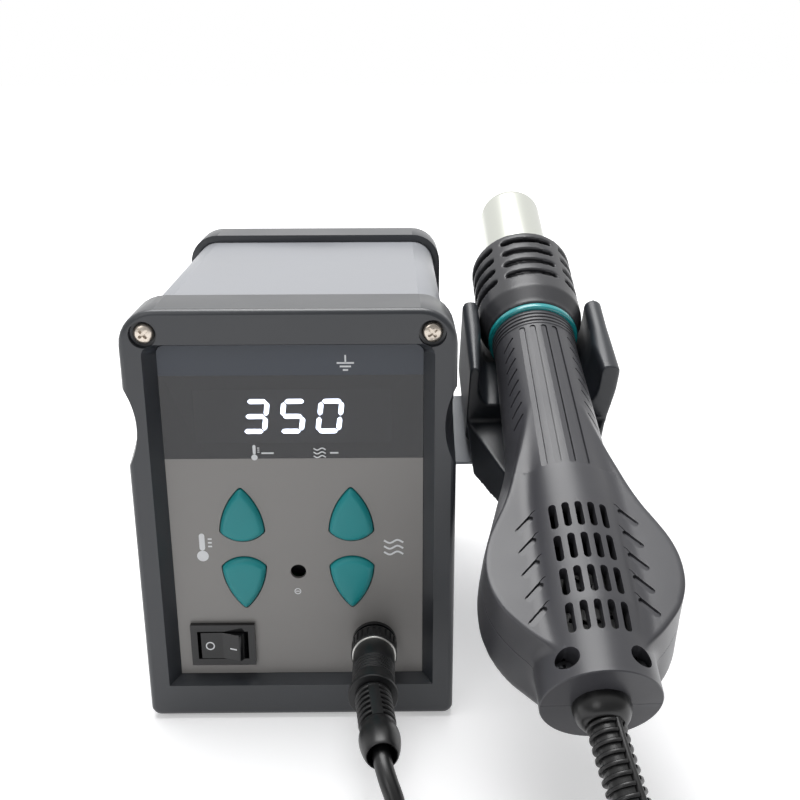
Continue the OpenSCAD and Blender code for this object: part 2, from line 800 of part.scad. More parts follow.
// Slotted boot with a bell mouth, leaning to one side from the plug's flange
module plug_boot() {
    r = boot_d / 2;
    color("#1c1c1f") difference() {
        translate([socket_x, y_boot, socket_z]) rotate([90, 0, boot_lean]) difference() {
            rotate_extrude() polygon([[0, -1.2], [r - 0.6, -1.2], [r, 0.6], [r, boot_l],
                [r + 0.45, boot_l + 3], [r + 0.4, boot_l + 6], [r - 0.3, boot_l + bell_l - 1.4],
                [r - 1, boot_l + bell_l - 0.3], [cord_d / 2 + 1.5, boot_l + bell_l],
                [cord_d / 2 + 1.3, boot_l + bell_l - bell_hole],
                [0, boot_l + bell_l - bell_hole]]);
            for (i = [0:5], a = [0, 180])
                rotate([0, 0, a]) translate([1.5, -r - 1, 2 + 2.45 * i])
                    cube([r, 2 * r + 2, 1.3]);
        }
        span(socket_x - 2 * r, socket_x + 2 * r, y_boot, y_boot + 4, socket_z - 2 * r,
            socket_z + 2 * r);
    }
}

// Inside the bench unit
floor_z = sleeve_z0 + sheet_t;
main_x = sleeve_x - 11;
main_y = unit_d / 2 - 26;
core_at = [16 - main_x, main_y - 26];

module main_board() {
    color("#2e6b46") difference() {
        union() {
            span(-main_x, main_x, -main_y, main_y, floor_z + 5, floor_z + 5 + board_t);
            for (sx = [-1, 1], sy = [-1, 1])
                translate([sx * (main_x - 4), sy * (main_y - 4), floor_z]) cylinder(r = 3, h = 5.5);
        }
        for (sx = [-1, 1], sy = [-1, 1])
            translate([sx * (main_x - 4), sy * (main_y - 4), floor_z + 3]) cylinder(r = 1.2, h = 8);
    }
}

module board_parts() {
    z = floor_z + 5 + board_t;
    color("#3b3f46") {
        for (p = [[16, 20, 5, 16], [16, 34, 5, 16], [28, 14, 3.5, 11], [10, 54, 4, 12]])
            translate([main_x - p[0], p[1] - main_y, z]) cylinder(r = p[2], h = p[3]);
        translate([6 - main_x, 8 - main_y, z]) {
            for (i = [0:4])
                translate([3 * i, 0, 0]) cube([1.4, 20, 24]);
            cube([13.4, 20, 3]);
        }
    }
}

module transformer_core() {
    z = floor_z + 5 + board_t;
    color("#77787c") difference() {
        span(core_at[0] - 20, core_at[0] + 20, core_at[1] - 9, core_at[1] + 9, z, z + 34);
        for (s = [-1, 1])
            span(core_at[0] + s * 10 - 4, core_at[0] + s * 10 + 4, core_at[1] - 10, core_at[1] + 10,
                z + 6, z + 28);
    }
}

module transformer_coil() {
    z = floor_z + 5 + board_t;
    color("#b06a35") difference() {
        span(core_at[0] - 13.5, core_at[0] + 13.5, core_at[1] - 17, core_at[1] + 17, z + 6.3,
            z + 27.7);
        span(core_at[0] - 6.2, core_at[0] + 6.2, core_at[1] - 9.2, core_at[1] + 9.2, z, z + 34);
    }
}

// Sheet bracket on the unit's side: one leg lies on the sleeve, the other carries the holder
module bracket() {
    color("#8e9299") difference() {
        union() {
            intersection() {
                on_handle() span(-frame_w, arm_out - 12, bracket_t0, bracket_t1,
                    -holder_drop - bracket_t, -holder_drop);
                span(sleeve_x, sleeve_x + frame_w, -unit_d, unit_d, 0, 2 * z_top);
            }
            intersection() {
                on_handle() span(-frame_w, arm_out - 12, bracket_t0, bracket_t1,
                    -holder_drop - bracket_t, bracket_t0 - shell_l);
                span(sleeve_x, sleeve_x + bracket_t, -unit_d, unit_d, 0, 2 * z_top);
            }
        }
        for (dy = [-1, 1])
            x_cyl(bracket_y + dy * bracket_dy / 2, bracket_z, sleeve_x - 1, sleeve_x + 8,
                screw_hole_d / 2);
        on_handle() for (t = holder_screw_t)
            translate([0, t, -holder_drop - 5]) cylinder(r = screw_hole_d / 2, h = 10);
    }
}

module bracket_screws() {
    x = sleeve_x + bracket_t;
    color("#b9b6b0") for (dy = [-1, 1]) {
        y = bracket_y + dy * bracket_dy / 2;
        x_cyl(y, bracket_z, x - 6, x, screw_r);
        translate([sleeve_x - sheet_t - nut_t, y, bracket_z]) rotate([0, 90, 0]) difference() {
            cylinder(r = 2 * screw_r + 0.1, h = nut_t, $fn = 6);
            translate([0, 0, -1]) cylinder(r = screw_r - 0.1, h = nut_t + 2);
        }
        translate([x, y, bracket_z]) rotate([0, 90, 0]) pan_head();
    }
}

// Holder: an open channel with beaded arms, a saddle for the grip and a tapered tongue
module channel_profile() {
    bead_r = arm_t / 2;
    difference() {
        union() {
            translate([-arm_out, tongue_top - 5]) square([2 * arm_out, arm_up - tongue_top + 5 - bead_r]);
            translate([6 - arm_out, -holder_drop]) square([2 * arm_out - 12, 20]);
            for (s = [-1, 1]) {
                translate([s * (arm_out - bead_r), arm_up - bead_r]) circle(bead_r);
                translate([s * (arm_out - 6), -holder_drop + 8]) circle(6);
                translate([s * (arm_out - 6), -holder_drop + 6]) circle(6);
            }
        }
        translate([-arm_in, 0]) square([2 * arm_in, arm_up + 1]);
        circle(arm_in);
    }
}

module holder() {
    color("#3f454c") on_handle() difference() {
        union() {
            translate([0, channel_t1, 0]) rotate([90, 0, 0]) linear_extrude(channel_l)
                channel_profile();
            translate([0, saddle_t1, 0]) rotate([90, 0, 0]) linear_extrude(saddle_t1 - channel_t0)
                translate([-arm_in - 1, tongue_top - 4])
                    square([2 * arm_in + 2, saddle_top - tongue_top + 4]);
            hull() {
                translate([0, 0, -holder_drop]) linear_extrude(0.1)
                    polygon([[-arm_out + 6, channel_t0 + 1], [-arm_out + 2, channel_t0 - 14],
                        [-12, channel_t0 - 34], [8, channel_t0 - 36], [15, channel_t0 - 32],
                        [arm_out - 6, channel_t0 + 1]]);
                translate([0, 0, tongue_top - 0.1]) linear_extrude(0.1)
                    polygon([[-arm_out, channel_t0 + 1], [-arm_out + 1, channel_t0 - 2],
                        [-14, channel_t0 - 25], [6, channel_t0 - 28], [16, channel_t0 - 26],
                        [arm_out, channel_t0 + 1]]);
            }
        }
        t_turn() polygon([[0, 100], [15.6 + run_gap, 110], [grip_r + run_gap, shell_l - 9],
            [grip_r + run_gap, shell_l + 1], [0, shell_l + 1]]);
        translate([0, magnet_at, -holder_drop - 1]) cylinder(r = magnet_r + 0.05, h = magnet_t + 1);
        for (t = holder_screw_t)
            translate([0, t, -holder_drop - 1]) cylinder(r = screw_r + 0.05, h = 8);
    }
}

module holder_screws() {
    color("#b9b6b0") on_handle() for (t = holder_screw_t)
        translate([0, t, -holder_drop - bracket_t]) {
            cylinder(r = screw_r, h = bracket_t + 5.5);
            rotate([180, 0, 0]) pan_head();
        }
}

module holder_magnet() {
    color("#c4c6ca") on_handle() translate([0, magnet_at, -holder_drop])
        cylinder(r = magnet_r, h = magnet_t);
}

// Outer form of the handle: a turned spine over a flat, egg-shaped fan housing
module drum(t, r) {
    crown = wing_z - rim_z;
    translate([0, t, 0]) rotate_extrude($fn = 72)
        polygon([[0, -drum_back], [r - 7, 0.6 - drum_back], [r - 2.5, 2.8 - drum_back],
            [r - 0.6, 5.6 - drum_back], [r, 8 - drum_back], [r, rim_z - 4], [r - 0.5, rim_z - 2],
            [r - 1.8, rim_z - 0.4], [0.84 * r, rim_z + 0.32 * crown],
            [0.7 * r, rim_z + 0.62 * crown], [r / 2, rim_z + 0.86 * crown],
            [r / 4, wing_z], [0, wing_z]]);
}

module handle_form() {
    t_turn() polygon([[0, 0], [tail_r - 0.8, 0], [tail_r, 1], [tail_r, 13], [17, 22], [17, 60],
        [16.6, 75], [15.6, 110], [grip_r, shell_l - 9], [grip_r, shell_l], [0, shell_l]]);
    hull() {
        drum(drum_t - 10.5, drum_r - 3.6);
        drum(drum_t, drum_r);
        drum(drum_t + 9, drum_r - 2.4);
    }
}

module handle_inside() {
    t_cyl(tail_screw_t + 4, 62, 13);
    t_cyl(60, shell_l + 1, bore_r);
    t_cyl(-1, 20, relief_r + 0.1);
    translate([0, drum_t, chamber_low]) cylinder(r = chamber_r, h = chamber_top - chamber_low);
}

module tail_screw_holes(top) {
    for (s = [-1, 1])
        translate([s * tail_screw_x, tail_screw_t, 0]) {
            translate([0, 0, 6]) cylinder(r = 2.8, h = 20);
            translate([0, 0, -6]) cylinder(r = top ? screw_r + 0.1 : 1.3, h = 20);
        }
}

vent_t = [17, 28.3, 39.6, 50.9];
louvre_t = [20.5, 28.6, 36.7, 44.8, 52.9];

module intake_slots() {
    for (t = vent_t, i = [-2:2])
        translate([i * 3.68, t, 6]) {
            translate([-1.05, -3.4, 0]) cube([2.1, 6.8, 16]);
            for (e = [-3.4, 3.4])
                translate([0, e, 0]) cylinder(r = 1.05, h = 16, $fn = 24);
        }
}

module wing_louvres() {
    for (t = louvre_t, s = [-1, 1])
        translate([s * 16.4, t, 12]) rotate([0, s * 14, -s * 40])
            translate([-5.2, -0.5, -1.6]) cube([10.4, 1, 8]);
}

// Flutes with one steep side on top of the grip, short slanted slits on its flanks
grip_slope = atan(1.8 / 62);
flute_t = 71;

module grip_flutes() {
    for (i = [-2:2])
        rotate([0, i * 13.5, 0]) translate([0, flute_t, 0]) rotate([-grip_slope, 0, 0])
            translate([-1.8, 0, 15.55]) rotate([0, -16, 0]) cube([3.7, shell_l - 8 - flute_t, 3]);
}

module grip_slits() {
    for (t = [flute_t + 8:5.5:shell_l - 11], s = [-1, 1])
        rotate([0, s * 50, 0]) translate([0, t, 16.7 - (t - flute_t) * tan(grip_slope)])
            rotate([0, 0, -s * 40]) translate([-3, -0.45, -0.8]) cube([6, 0.9, 3]);
}

module grip_lines() {
    for (t = [shell_l - 5.8, shell_l - 4, shell_l - 2.2])
        translate([0, t, 0]) t_turn() translate([grip_r - 0.4, 0]) square([2, 0.6]);
}

module shell_front() {
    color("#4c4e52") on_handle() difference() {
        intersection() {
            handle_form();
            translate([-60, -5, 0]) cube([120, shell_l + 10, 40]);
        }
        handle_inside();
        tail_screw_holes(true);
        intake_slots();
        wing_louvres();
        grip_flutes();
        grip_slits();
        grip_lines();
    }
}

module shell_back() {
    color("#4c4e52") on_handle() difference() {
        intersection() {
            handle_form();
            translate([-60, -5, -40]) cube([120, shell_l + 10, 40]);
        }
        handle_inside();
        tail_screw_holes(false);
        grip_lines();
    }
}

module shell_screws() {
    color("#55575b") on_handle() for (s = [-1, 1])
        translate([s * tail_screw_x, tail_screw_t, 0]) {
            translate([0, 0, -5]) cylinder(r = 1.25, h = 11.5);
            difference() {
                translate([0, 0, 6]) cylinder(r = 2.5, h = 1.6);
                translate([0, 0, 7.6]) cross_recess(1.5, 0.9);
            }
        }
}

module grip_ring() {
    color("#1f8f93") on_handle() translate([0, shell_l, 0]) t_turn()
        polygon([[bore_r, 0], [ring_r - 0.5, 0], [ring_r, 0.5], [ring_r, ring_t - 0.5],
            [ring_r - 0.5, ring_t], [bore_r, ring_t]]);
}

// Head collar with five groups of four outlet slots over an air gap around the tube
slot_h = 2.8;
slot_x = 8;

module head_collar() {
    w = 1.9;
    color("#48494c") on_handle() translate([0, collar_at, 0]) difference() {
        t_turn() difference() {
            polygon([[bore_r - 0.15, 0], [ring_r + 0.2, 0], [ring_r + 0.3, 1.2], [collar_r, 7],
                [collar_r, collar_l - 0.8], [collar_r - 0.8, collar_l],
                [bore_r - 0.15, collar_l]]);
            polygon([[bore_r + 1, 3.5], [ring_r - 1.4, 3.5], [collar_r - w, 8],
                [collar_r - w, collar_l - 2], [bore_r + 1, collar_l - 2]]);
        }
        for (g = [0:4], k = [0:3])
            rotate([0, g * 72, 0])
                translate([0, collar_l - 3.6 - slot_h / 2 - 6.55 * k, bore_r + 2.4]) {
                    translate([-slot_x, -slot_h / 2, 0]) cube([2 * slot_x, slot_h, 8]);
                    for (e = [-slot_x, slot_x])
                        translate([e, 0, 0]) cylinder(r = slot_h / 2, h = 8, $fn = 24);
                }
    }
}

module heater_tube() {
    r = tube_d / 2;
    color("#cfc9bf") on_handle() translate([0, tube_at, 0]) t_turn()
        polygon([[r - tube_t - 0.4, 0], [r - 0.5, 0], [r - 0.5, tube_l - tube_out],
            [r, tube_l - tube_out], [r, tube_l - 0.6], [r - 0.3, tube_l], [r - tube_t, tube_l],
            [r - tube_t, tube_l - tube_out + 1], [r - tube_t - 0.4, tube_l - tube_out + 1]]);
}

former_end = 9;

coil_turns = 7;
coil_mid = 7.6;
wire_r = 0.9;

function turn_at(i) = tube_at + tube_l - former_end - 5 - 5 * i;

module heater_former() {
    r = tube_d / 2 - tube_t - 0.5;
    notch = wire_r + 0.2;
    color("#c9bfa6") on_handle() difference() {
        for (a = [0, 90])
            rotate([0, a, 0]) translate([-r, tube_at + 4, -0.5])
                cube([2 * r, tube_l - 4 - former_end, 1]);
        for (a = [0:90:270], i = [0:coil_turns - 1])
            rotate([0, a, 0]) translate([coil_mid - notch, turn_at(i) - notch, -1])
                cube([2 * notch, 2 * notch, 2]);
    }
}

module heater_coil() {
    color("#8d8a86") on_handle() for (i = [0:coil_turns - 1])
        translate([0, turn_at(i), 0]) rotate([90, 0, 0])
            rotate_extrude($fn = 32) translate([coil_mid, 0]) circle(wire_r, $fn = 16);
}

module fan_motor() {
    color("#b9bbbf") on_handle() translate([0, drum_t, chamber_low]) {
        cylinder(r = 9, h = motor_h);
        cylinder(r = shaft_r, h = motor_h + 8);
    }
}

// Centrifugal fan: backplate, hub, shroud ring and backward-curved blades
module fan_wheel() {
    blade_h = 6.6;
    R = fan_r;
    color("#2b2c30") on_handle() translate([0, drum_t, wheel_z]) {
        difference() {
            union() {
                cylinder(r = R, h = 1.2);
                cylinder(r = 4.2, h = blade_h);
            }
            translate([0, 0, -1]) cylinder(r = shaft_r + 0.05, h = blade_h + 3);
        }
        for (i = [0:blades - 1])
            rotate([0, 0, i * 360 / blades]) translate([R - 4.6, -5, 1])
                intersection() {
                    difference() {
                        cylinder(r = 6.6, h = blade_h - 1, $fn = 32);
                        translate([0, 0, -1]) cylinder(r = 5.9, h = blade_h + 2, $fn = 32);
                    }
                    translate([-4.4, 3.2, 0]) cube([7.6, 5, blade_h]);
                }
        translate([0, 0, blade_h - 1]) difference() {
            cylinder(r = R, h = 0.9);
            translate([0, 0, -1]) cylinder(r = R - 7.4, h = 3);
        }
    }
}

module reed_switch() {
    color("#9fb4b0") on_handle() translate([0, magnet_at - 7, -bore_r])
        rotate([-90, 0, 0]) translate([0, -1.1, 0]) cylinder(r = 1.1, h = 14, $fn = 24);
}

// Rubber relief boot, bent by the cord's weight, with staggered ribs either side of a spine
module relief_arc(a0, a1) {
    translate([0, -relief_root, 0]) rotate([0, -relief_turn, relief_lean])
        translate([0, 0, -relief_R]) rotate([0, -90, 180]) rotate([0, 0, a0])
            rotate_extrude(angle = a1 - a0, $fn = 256) translate([relief_R, 0])
                rotate(relief_turn + 26) children();
}

module relief_side(s) {
    intersection() {
        circle(relief_rib, $fn = 32);
        translate([-6, s > 0 ? 0.3 : -6.3]) square([12, 6]);
    }
}

module tail_relief() {
    pitch = (relief_bend - 2.4) / 11;
    color("#1a1a1c") on_handle() {
        t_turn() polygon([[0, -relief_flange], [5.6, -relief_flange], [6.7, 0.9 - relief_flange],
            [7.5, 3 - relief_flange], [7.8, -1], [7.8, 0], [relief_r, 0], [relief_r, 8], [0, 8]]);
        relief_arc(0, relief_bend) circle(relief_core, $fn = 32);
        relief_arc(0.6, relief_bend - 0.4) intersection() {
            circle(relief_rib + 0.2, $fn = 32);
            translate([0, -0.8]) square([6, 1.6]);
        }
        for (i = [0:10], s = [-1, 1])
            relief_arc(1 + pitch * (i + (s > 0 ? 0.45 : 0)), 1 + pitch * (i + (s > 0 ? 1 : 0.55)))
                relief_side(s);
    }
}

// Cord: a tube swept along its points, and the closed outer shape of its coil on the bench
function mix(a, b, u) = a * (1 - u) + b * u;
function spline(p, i, u) = let(
    a = p[max(i - 1, 0)], b = p[i], c = p[i + 1], d = p[min(i + 2, len(p) - 1)])
    0.5 * (2 * b + (c - a) * u + (2 * a - 5 * b + 4 * c - d) * u * u
        + (3 * b - a - 3 * c + d) * u * u * u);
function fine(p, n) = [for (i = [0:len(p) - 2], k = [0:n - 1]) spline(p, i, k / n), p[len(p) - 1]];
function unit(v) = v / norm(v);
function heading(p, i) = unit(p[min(i + 1, len(p) - 1)] - p[max(i - 1, 0)]);

module tube(p, r, first, sides = 10) {
    n = len(p);
    side = [0, 0, 1];
    rings = [for (i = [0:n - 1]) let(
        h = i == 0 ? first : heading(p, i),
        u = unit(cross(cross(h, side), h)),
        v = cross(h, u))
        [for (k = [0:sides - 1]) p[i] + r * (cos(k * 360 / sides) * u + sin(k * 360 / sides) * v)]];
    polyhedron(points = [for (q = rings, s = q) s],
        faces = concat([[for (k = [0:sides - 1]) k]],
            [for (i = [0:n - 2], k = [0:sides - 1])
                [i * sides + k, (i + 1) * sides + k, (i + 1) * sides + (k + 1) % sides,
                    i * sides + (k + 1) % sides]],
            [[for (k = [sides - 1:-1:0]) (n - 1) * sides + k]]));
}

module cord_front_run() {
    color("#18181a") tube(fine(front_pts, 3), cord_d / 2, boot_way);
}

module cord_back_run() {
    color("#18181a") tube(fine(back_pts, 3), cord_d / 2, relief_v);
}

module cord_coil() {
    h = coil_n * cord_d;
    color("#18181a") translate([coil_at[0], coil_at[1], 0]) rotate_extrude() {
        translate([coil_r - h / 2, 1]) square([h, h - 2]);
        translate([coil_r - h / 2 + 1, 0]) square([h - 2, h]);
    }
}

sleeve();
front_frame();
rear_frame();
back_plate();
panel_carrier();
header_strip();
display_window();
display_figures();
display_module();
control_plate();
front_board();
tact_switches();
trimmer_body();
trimmer_rotor();
switch_frame();
switch_rocker();
button_temp_up();
button_temp_down();
button_air_up();
button_air_down();
panel_socket();
socket_nut();
coupling_ring();
plug_shell();
plug_boot();
main_board();
board_parts();
transformer_core();
transformer_coil();
mains_inlet();
inlet_pins();
feet();
front_screws();
rear_screws();
bracket();
bracket_screws();
holder();
holder_screws();
holder_magnet();
shell_front();
shell_back();
shell_screws();
grip_ring();
head_collar();
heater_tube();
heater_former();
heater_coil();
fan_motor();
fan_wheel();
reed_switch();
tail_relief();
cord_front_run();
cord_coil();
cord_back_run();
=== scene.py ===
# %% [markdown]
# # Hot air rework station
# A small bench unit blows hot air through a hand piece. The unit is a painted sheet sleeve
# between two moulded end frames, with a sunk front panel. The hand piece has its own fan, and
# rests in a holder on the unit's right side. A cord joins it to a round plug on the front.
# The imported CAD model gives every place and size. This script adds what the eye needs: soft
# edges, moulded surfaces, paint, rubber, print and light.

# %% Load the frame
import json
import math
import bmesh
import bpy
import numpy as np
from mathutils import Matrix, Vector

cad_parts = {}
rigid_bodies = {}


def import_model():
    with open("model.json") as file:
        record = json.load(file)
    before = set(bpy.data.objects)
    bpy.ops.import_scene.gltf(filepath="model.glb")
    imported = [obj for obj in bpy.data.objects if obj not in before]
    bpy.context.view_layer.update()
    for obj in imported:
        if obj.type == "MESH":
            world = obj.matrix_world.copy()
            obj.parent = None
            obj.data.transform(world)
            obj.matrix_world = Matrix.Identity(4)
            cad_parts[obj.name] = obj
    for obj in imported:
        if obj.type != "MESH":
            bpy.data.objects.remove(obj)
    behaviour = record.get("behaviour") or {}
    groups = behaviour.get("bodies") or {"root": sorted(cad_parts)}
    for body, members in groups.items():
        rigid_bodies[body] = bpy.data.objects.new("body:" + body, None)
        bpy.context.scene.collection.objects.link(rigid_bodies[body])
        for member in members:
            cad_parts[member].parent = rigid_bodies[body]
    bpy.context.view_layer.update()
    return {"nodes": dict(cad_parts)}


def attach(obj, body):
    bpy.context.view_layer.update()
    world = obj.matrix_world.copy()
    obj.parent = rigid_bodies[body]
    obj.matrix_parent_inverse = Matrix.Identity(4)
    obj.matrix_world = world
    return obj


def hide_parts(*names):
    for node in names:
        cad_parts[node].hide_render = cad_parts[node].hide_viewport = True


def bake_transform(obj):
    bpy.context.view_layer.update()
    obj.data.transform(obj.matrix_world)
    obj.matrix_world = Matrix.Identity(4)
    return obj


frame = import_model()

node = frame["nodes"]
mm = 0.001
IN_MM = Matrix.Diagonal((mm, mm, mm, 1))

# %% [markdown]
# ## Camera
# The photograph looks down on the unit from close in front, so upright edges lean together
# towards the bench. A camera matrix is built from its place and three small angles, which
# keeps the view exact. Lens shift isn't needed.

# %% Camera
CAMERA_AT = Vector((30.235, -364.912, 213.531)) * mm
PITCH_DOWN, YAW_RIGHT, ROLL = 0.33204, 0.00881, -0.00304
SENSOR, FOCAL_PX, FRAME_PX = 36.0, 1043.65, 800

forward = Vector((math.sin(YAW_RIGHT) * math.cos(PITCH_DOWN),
                  math.cos(YAW_RIGHT) * math.cos(PITCH_DOWN), -math.sin(PITCH_DOWN)))
right = forward.cross(Vector((0, 0, 1))).normalized()
up = right.cross(forward)
across = math.cos(ROLL) * right + math.sin(ROLL) * up
above = math.cos(ROLL) * up - math.sin(ROLL) * right
camera = bpy.data.objects.new("Camera", bpy.data.cameras.new("Camera"))
camera.data.sensor_width = SENSOR
camera.data.lens = SENSOR * FOCAL_PX / FRAME_PX
camera.data.clip_start = 0.01
camera.matrix_world = Matrix.Translation(CAMERA_AT) @ Matrix(
    (across, above, -forward)).transposed().to_4x4()
bpy.context.scene.collection.objects.link(camera)
bpy.context.scene.camera = camera
bpy.context.scene.view_settings.view_transform = "Standard"
print("lens:", round(camera.data.lens, 2), "mm")

# %% [markdown]
# ## The cord
# The cord is soft rubber, 5.4 mm thick and about 0.8 m long, which is usual for such a hand
# piece. It leaves the boot at the handle's tail and drops to the bench. Its spare length is
# wound in a flat coil in front of the unit, out of the picture, and it rises from there to
# the plug. The photograph shows only its first two centimetres below the plug.
# One line of points is worked out for the whole cord, so that it stays one smooth curve.

# %% The cord's points
CORD_D = 5.4
COIL_AT, COIL_R = (60, -172), 32
TIP = Vector((90.986, -166.762, 30.281))
TIP_WAY = Vector((0.28019, -0.74684, -0.60310))


def ease(value, start, end):
    """0 before start, 1 after end, smooth in between."""
    t = min(max((value - start) / (end - start), 0), 1)
    return t * t * (3 - 2 * t)


def coil_point(turned):
    """A point on the coil after so many degrees, clockwise from where the cord joins it."""
    inward = ease(turned, 302.5, 352.5) - ease(turned, 932.5, 972.5)
    radius = COIL_R + CORD_D * (0.5 - inward)
    height = CORD_D * (1.5 - ease(turned, 612.5, 652.5)) + 0.25
    angle = math.radians(-47.5 - turned)
    return (COIL_AT[0] + radius * math.cos(angle), COIL_AT[1] + radius * math.sin(angle), height)


COIL_TURNED = 1239.5
down_to_coil = [TIP[:], (TIP + 5 * TIP_WAY)[:], (93, -178.2, 21.8), (93.2, -185.6, 16),
                (90, -192.6, 11.4)]
up_to_plug = [(30, -149.3, 3.6), (31.5, -143.4, 6.7), (32.1, -138.9, 11), (31.6, -135.6, 15.4),
              (30.4, -132.8, 19.2), (28.9, -130, 22.2), (27.75, -126.9, 24.3),
              (27.05, -123.6, 25.5), (26.73, -120.27, 26.12), (26.416, -117.284, 26.2)]
turns = [coil_point(a) for a in np.linspace(0, COIL_TURNED, 84)]
route = [Vector(p) * mm for p in down_to_coil + turns + up_to_plug]


def smooth_line(points, steps):
    """Points along a Catmull-Rom curve through the given ones."""
    line = []
    for i in range(len(points) - 1):
        a, b = points[max(i - 1, 0)], points[i]
        c, d = points[i + 1], points[min(i + 2, len(points) - 1)]
        for t in np.linspace(0, 1, steps, endpoint=False):
            line.append(0.5 * (2 * b + (c - a) * t + (2 * a - 5 * b + 4 * c - d) * t ** 2
                               + (3 * b - a - 3 * c + d) * t ** 3))
    return line + [points[-1]]


cord_line = smooth_line(route, 4)


# %% Tools for meshes
def circle(radius, count):
    """Points round a circle, as pairs."""
    return [(radius * math.cos(a), radius * math.sin(a))
            for a in np.linspace(0, 2 * math.pi, count, endpoint=False)]


def bar(x, z, w, h):
    """The corners of a rectangle round a middle."""
    return [(x - w / 2, z - h / 2), (x + w / 2, z - h / 2), (x + w / 2, z + h / 2),
            (x - w / 2, z + h / 2)]


def link(name, mesh):
    obj = bpy.data.objects.new(name, mesh)
    bpy.context.scene.collection.objects.link(obj)
    return obj


def mesh_piece(name, points, faces):
    mesh = bpy.data.meshes.new(name)
    mesh.from_pydata([tuple(p) for p in points], [], faces)
    return link(name, mesh)


def outward(obj):
    """Weld a mesh and turn its faces outwards."""
    bm = bmesh.new()
    bm.from_mesh(obj.data)
    bmesh.ops.remove_doubles(bm, verts=bm.verts, dist=1e-6)
    bmesh.ops.recalc_face_normals(bm, faces=bm.faces)
    bm.to_mesh(obj.data)
    bm.free()
    return obj


def rings_piece(name, rings, closed=False):
    """Join rings of points with the same count, with capped ends or the last to the first."""
    count, sides = len(rings), len(rings[0])
    faces = []
    for i in range(count if closed else count - 1):
        for k in range(sides):
            j, n = (i + 1) % count, (k + 1) % sides
            faces.append((i * sides + k, i * sides + n, j * sides + n, j * sides + k))
    if not closed:
        faces += [tuple(range(sides)), tuple((count - 1) * sides + k for k in range(sides))]
    return outward(mesh_piece(name, [p for ring in rings for p in ring], faces))


def tube_rings(line, radius, sides):
    """Rings of points round a line, carried along it without twist."""
    side = Vector((1, 0, 0))
    rings = []
    for i, p in enumerate(line):
        way = (line[min(i + 1, len(line) - 1)] - line[max(i - 1, 0)]).normalized()
        side = (side - way * side.dot(way)).normalized()
        other = way.cross(side)
        rings.append([p + radius * (c * side + s * other) for c, s in circle(1, sides)])
    return rings


# %% The cord's mesh and the tie round its coil
cord = rings_piece("cord", tube_rings(cord_line, CORD_D / 2 * mm, 14))
TIE_ANGLE, TIE_W, TIE_T = math.radians(-142), 12, 0.5
TIE_HALF, TIE_SQUARE = CORD_D + 0.1, 0.6
tie_ring = []
for c, s in circle(1, 40):
    reach = TIE_HALF / max(abs(c), abs(s)) ** TIE_SQUARE
    tie_ring.append((reach * c, reach * s))
tie_rows = []
for grow, part in ((0, -1), (0, 1), (TIE_T, 1), (TIE_T, -1)):
    row = []
    for x, z in tie_ring:
        scale = 1 + grow / math.hypot(x, z)
        turn = TIE_ANGLE + part * TIE_W / 2 / COIL_R
        r = COIL_R + x * scale
        row.append(Vector((COIL_AT[0] + r * math.cos(turn), COIL_AT[1] + r * math.sin(turn),
                           max(CORD_D + z * scale, 0.05))) * mm)
    tie_rows.append(row)
tie = rings_piece("cord_tie", tie_rows, closed=True)
print("cord faces:", len(cord.data.polygons))

# %% [markdown]
# ## Bench and light
# The unit stands on plain white paper in even studio light. A large soft lamp hangs above,
# so the upper faces are bright and the upright ones darker, and a weaker one fills the front.
# The paper glows a little for the camera and in reflections, more so far from the object. It
# runs out to pure white and still takes the object's shadow. The world is white to the
# camera, darker towards the front in reflections, and an even fill for everything matt.

# %% Bench
def tree_of(name):
    """A new material and its node tree, with the output left in place."""
    material = bpy.data.materials.new(name)
    material.use_nodes = True
    tree = material.node_tree
    tree.nodes.clear()
    tree.nodes.new("ShaderNodeOutputMaterial")
    return material, tree


def surface(tree, shader):
    """Send a shader to the material's output."""
    tree.links.new(shader.outputs[0], tree.nodes["Material Output"].inputs["Surface"])


def add(tree, kind, *links, **values):
    """Add a shader node; values go to its properties or sockets, links to its inputs."""
    made = tree.nodes.new("ShaderNode" + kind)
    for key, value in values.items():
        if hasattr(made, key):
            setattr(made, key, value)
        else:
            made.inputs[key.replace("_", " ")].default_value = value
    for socket, source in links:
        tree.links.new(source, made.inputs[socket])
    return made


paper, tree = tree_of("paper")
path = add(tree, "LightPath")
texture = add(tree, "TexCoord")
fibres = add(tree, "TexNoise", ("Vector", texture.outputs["Object"]), Scale=900, Detail=2)
bump = add(tree, "Bump", ("Height", fibres.outputs["Fac"]), Strength=0.03, Distance=0.0002)
matt = add(tree, "BsdfDiffuse", ("Normal", bump.outputs["Normal"]), Color=(0.86, 0.86, 0.87, 1))
away = add(tree, "VectorMath", (0, texture.outputs["Object"]), operation="LENGTH")
growth = add(tree, "MapRange", ("Value", away.outputs["Value"]), From_Min=0.2, From_Max=1.0,
             To_Min=0.35, To_Max=1.0)
glow = add(tree, "Emission", ("Strength", growth.outputs["Result"]), Color=(1, 1, 1, 1))
seen = add(tree, "Math", (0, path.outputs["Is Camera Ray"]), (1, path.outputs["Is Glossy Ray"]),
           operation="MAXIMUM")
dark = add(tree, "Emission", Strength=0)
chosen = add(tree, "MixShader", (0, seen.outputs[0]), (1, dark.outputs[0]), (2, glow.outputs[0]))
both = add(tree, "AddShader", (0, matt.outputs[0]), (1, chosen.outputs[0]))
surface(tree, both)
bench = mesh_piece("bench", [(-4, -3, 0), (4, -3, 0), (4, 5, 0), (-4, 5, 0)], [(0, 1, 2, 3)])
bench.data.materials.append(paper)

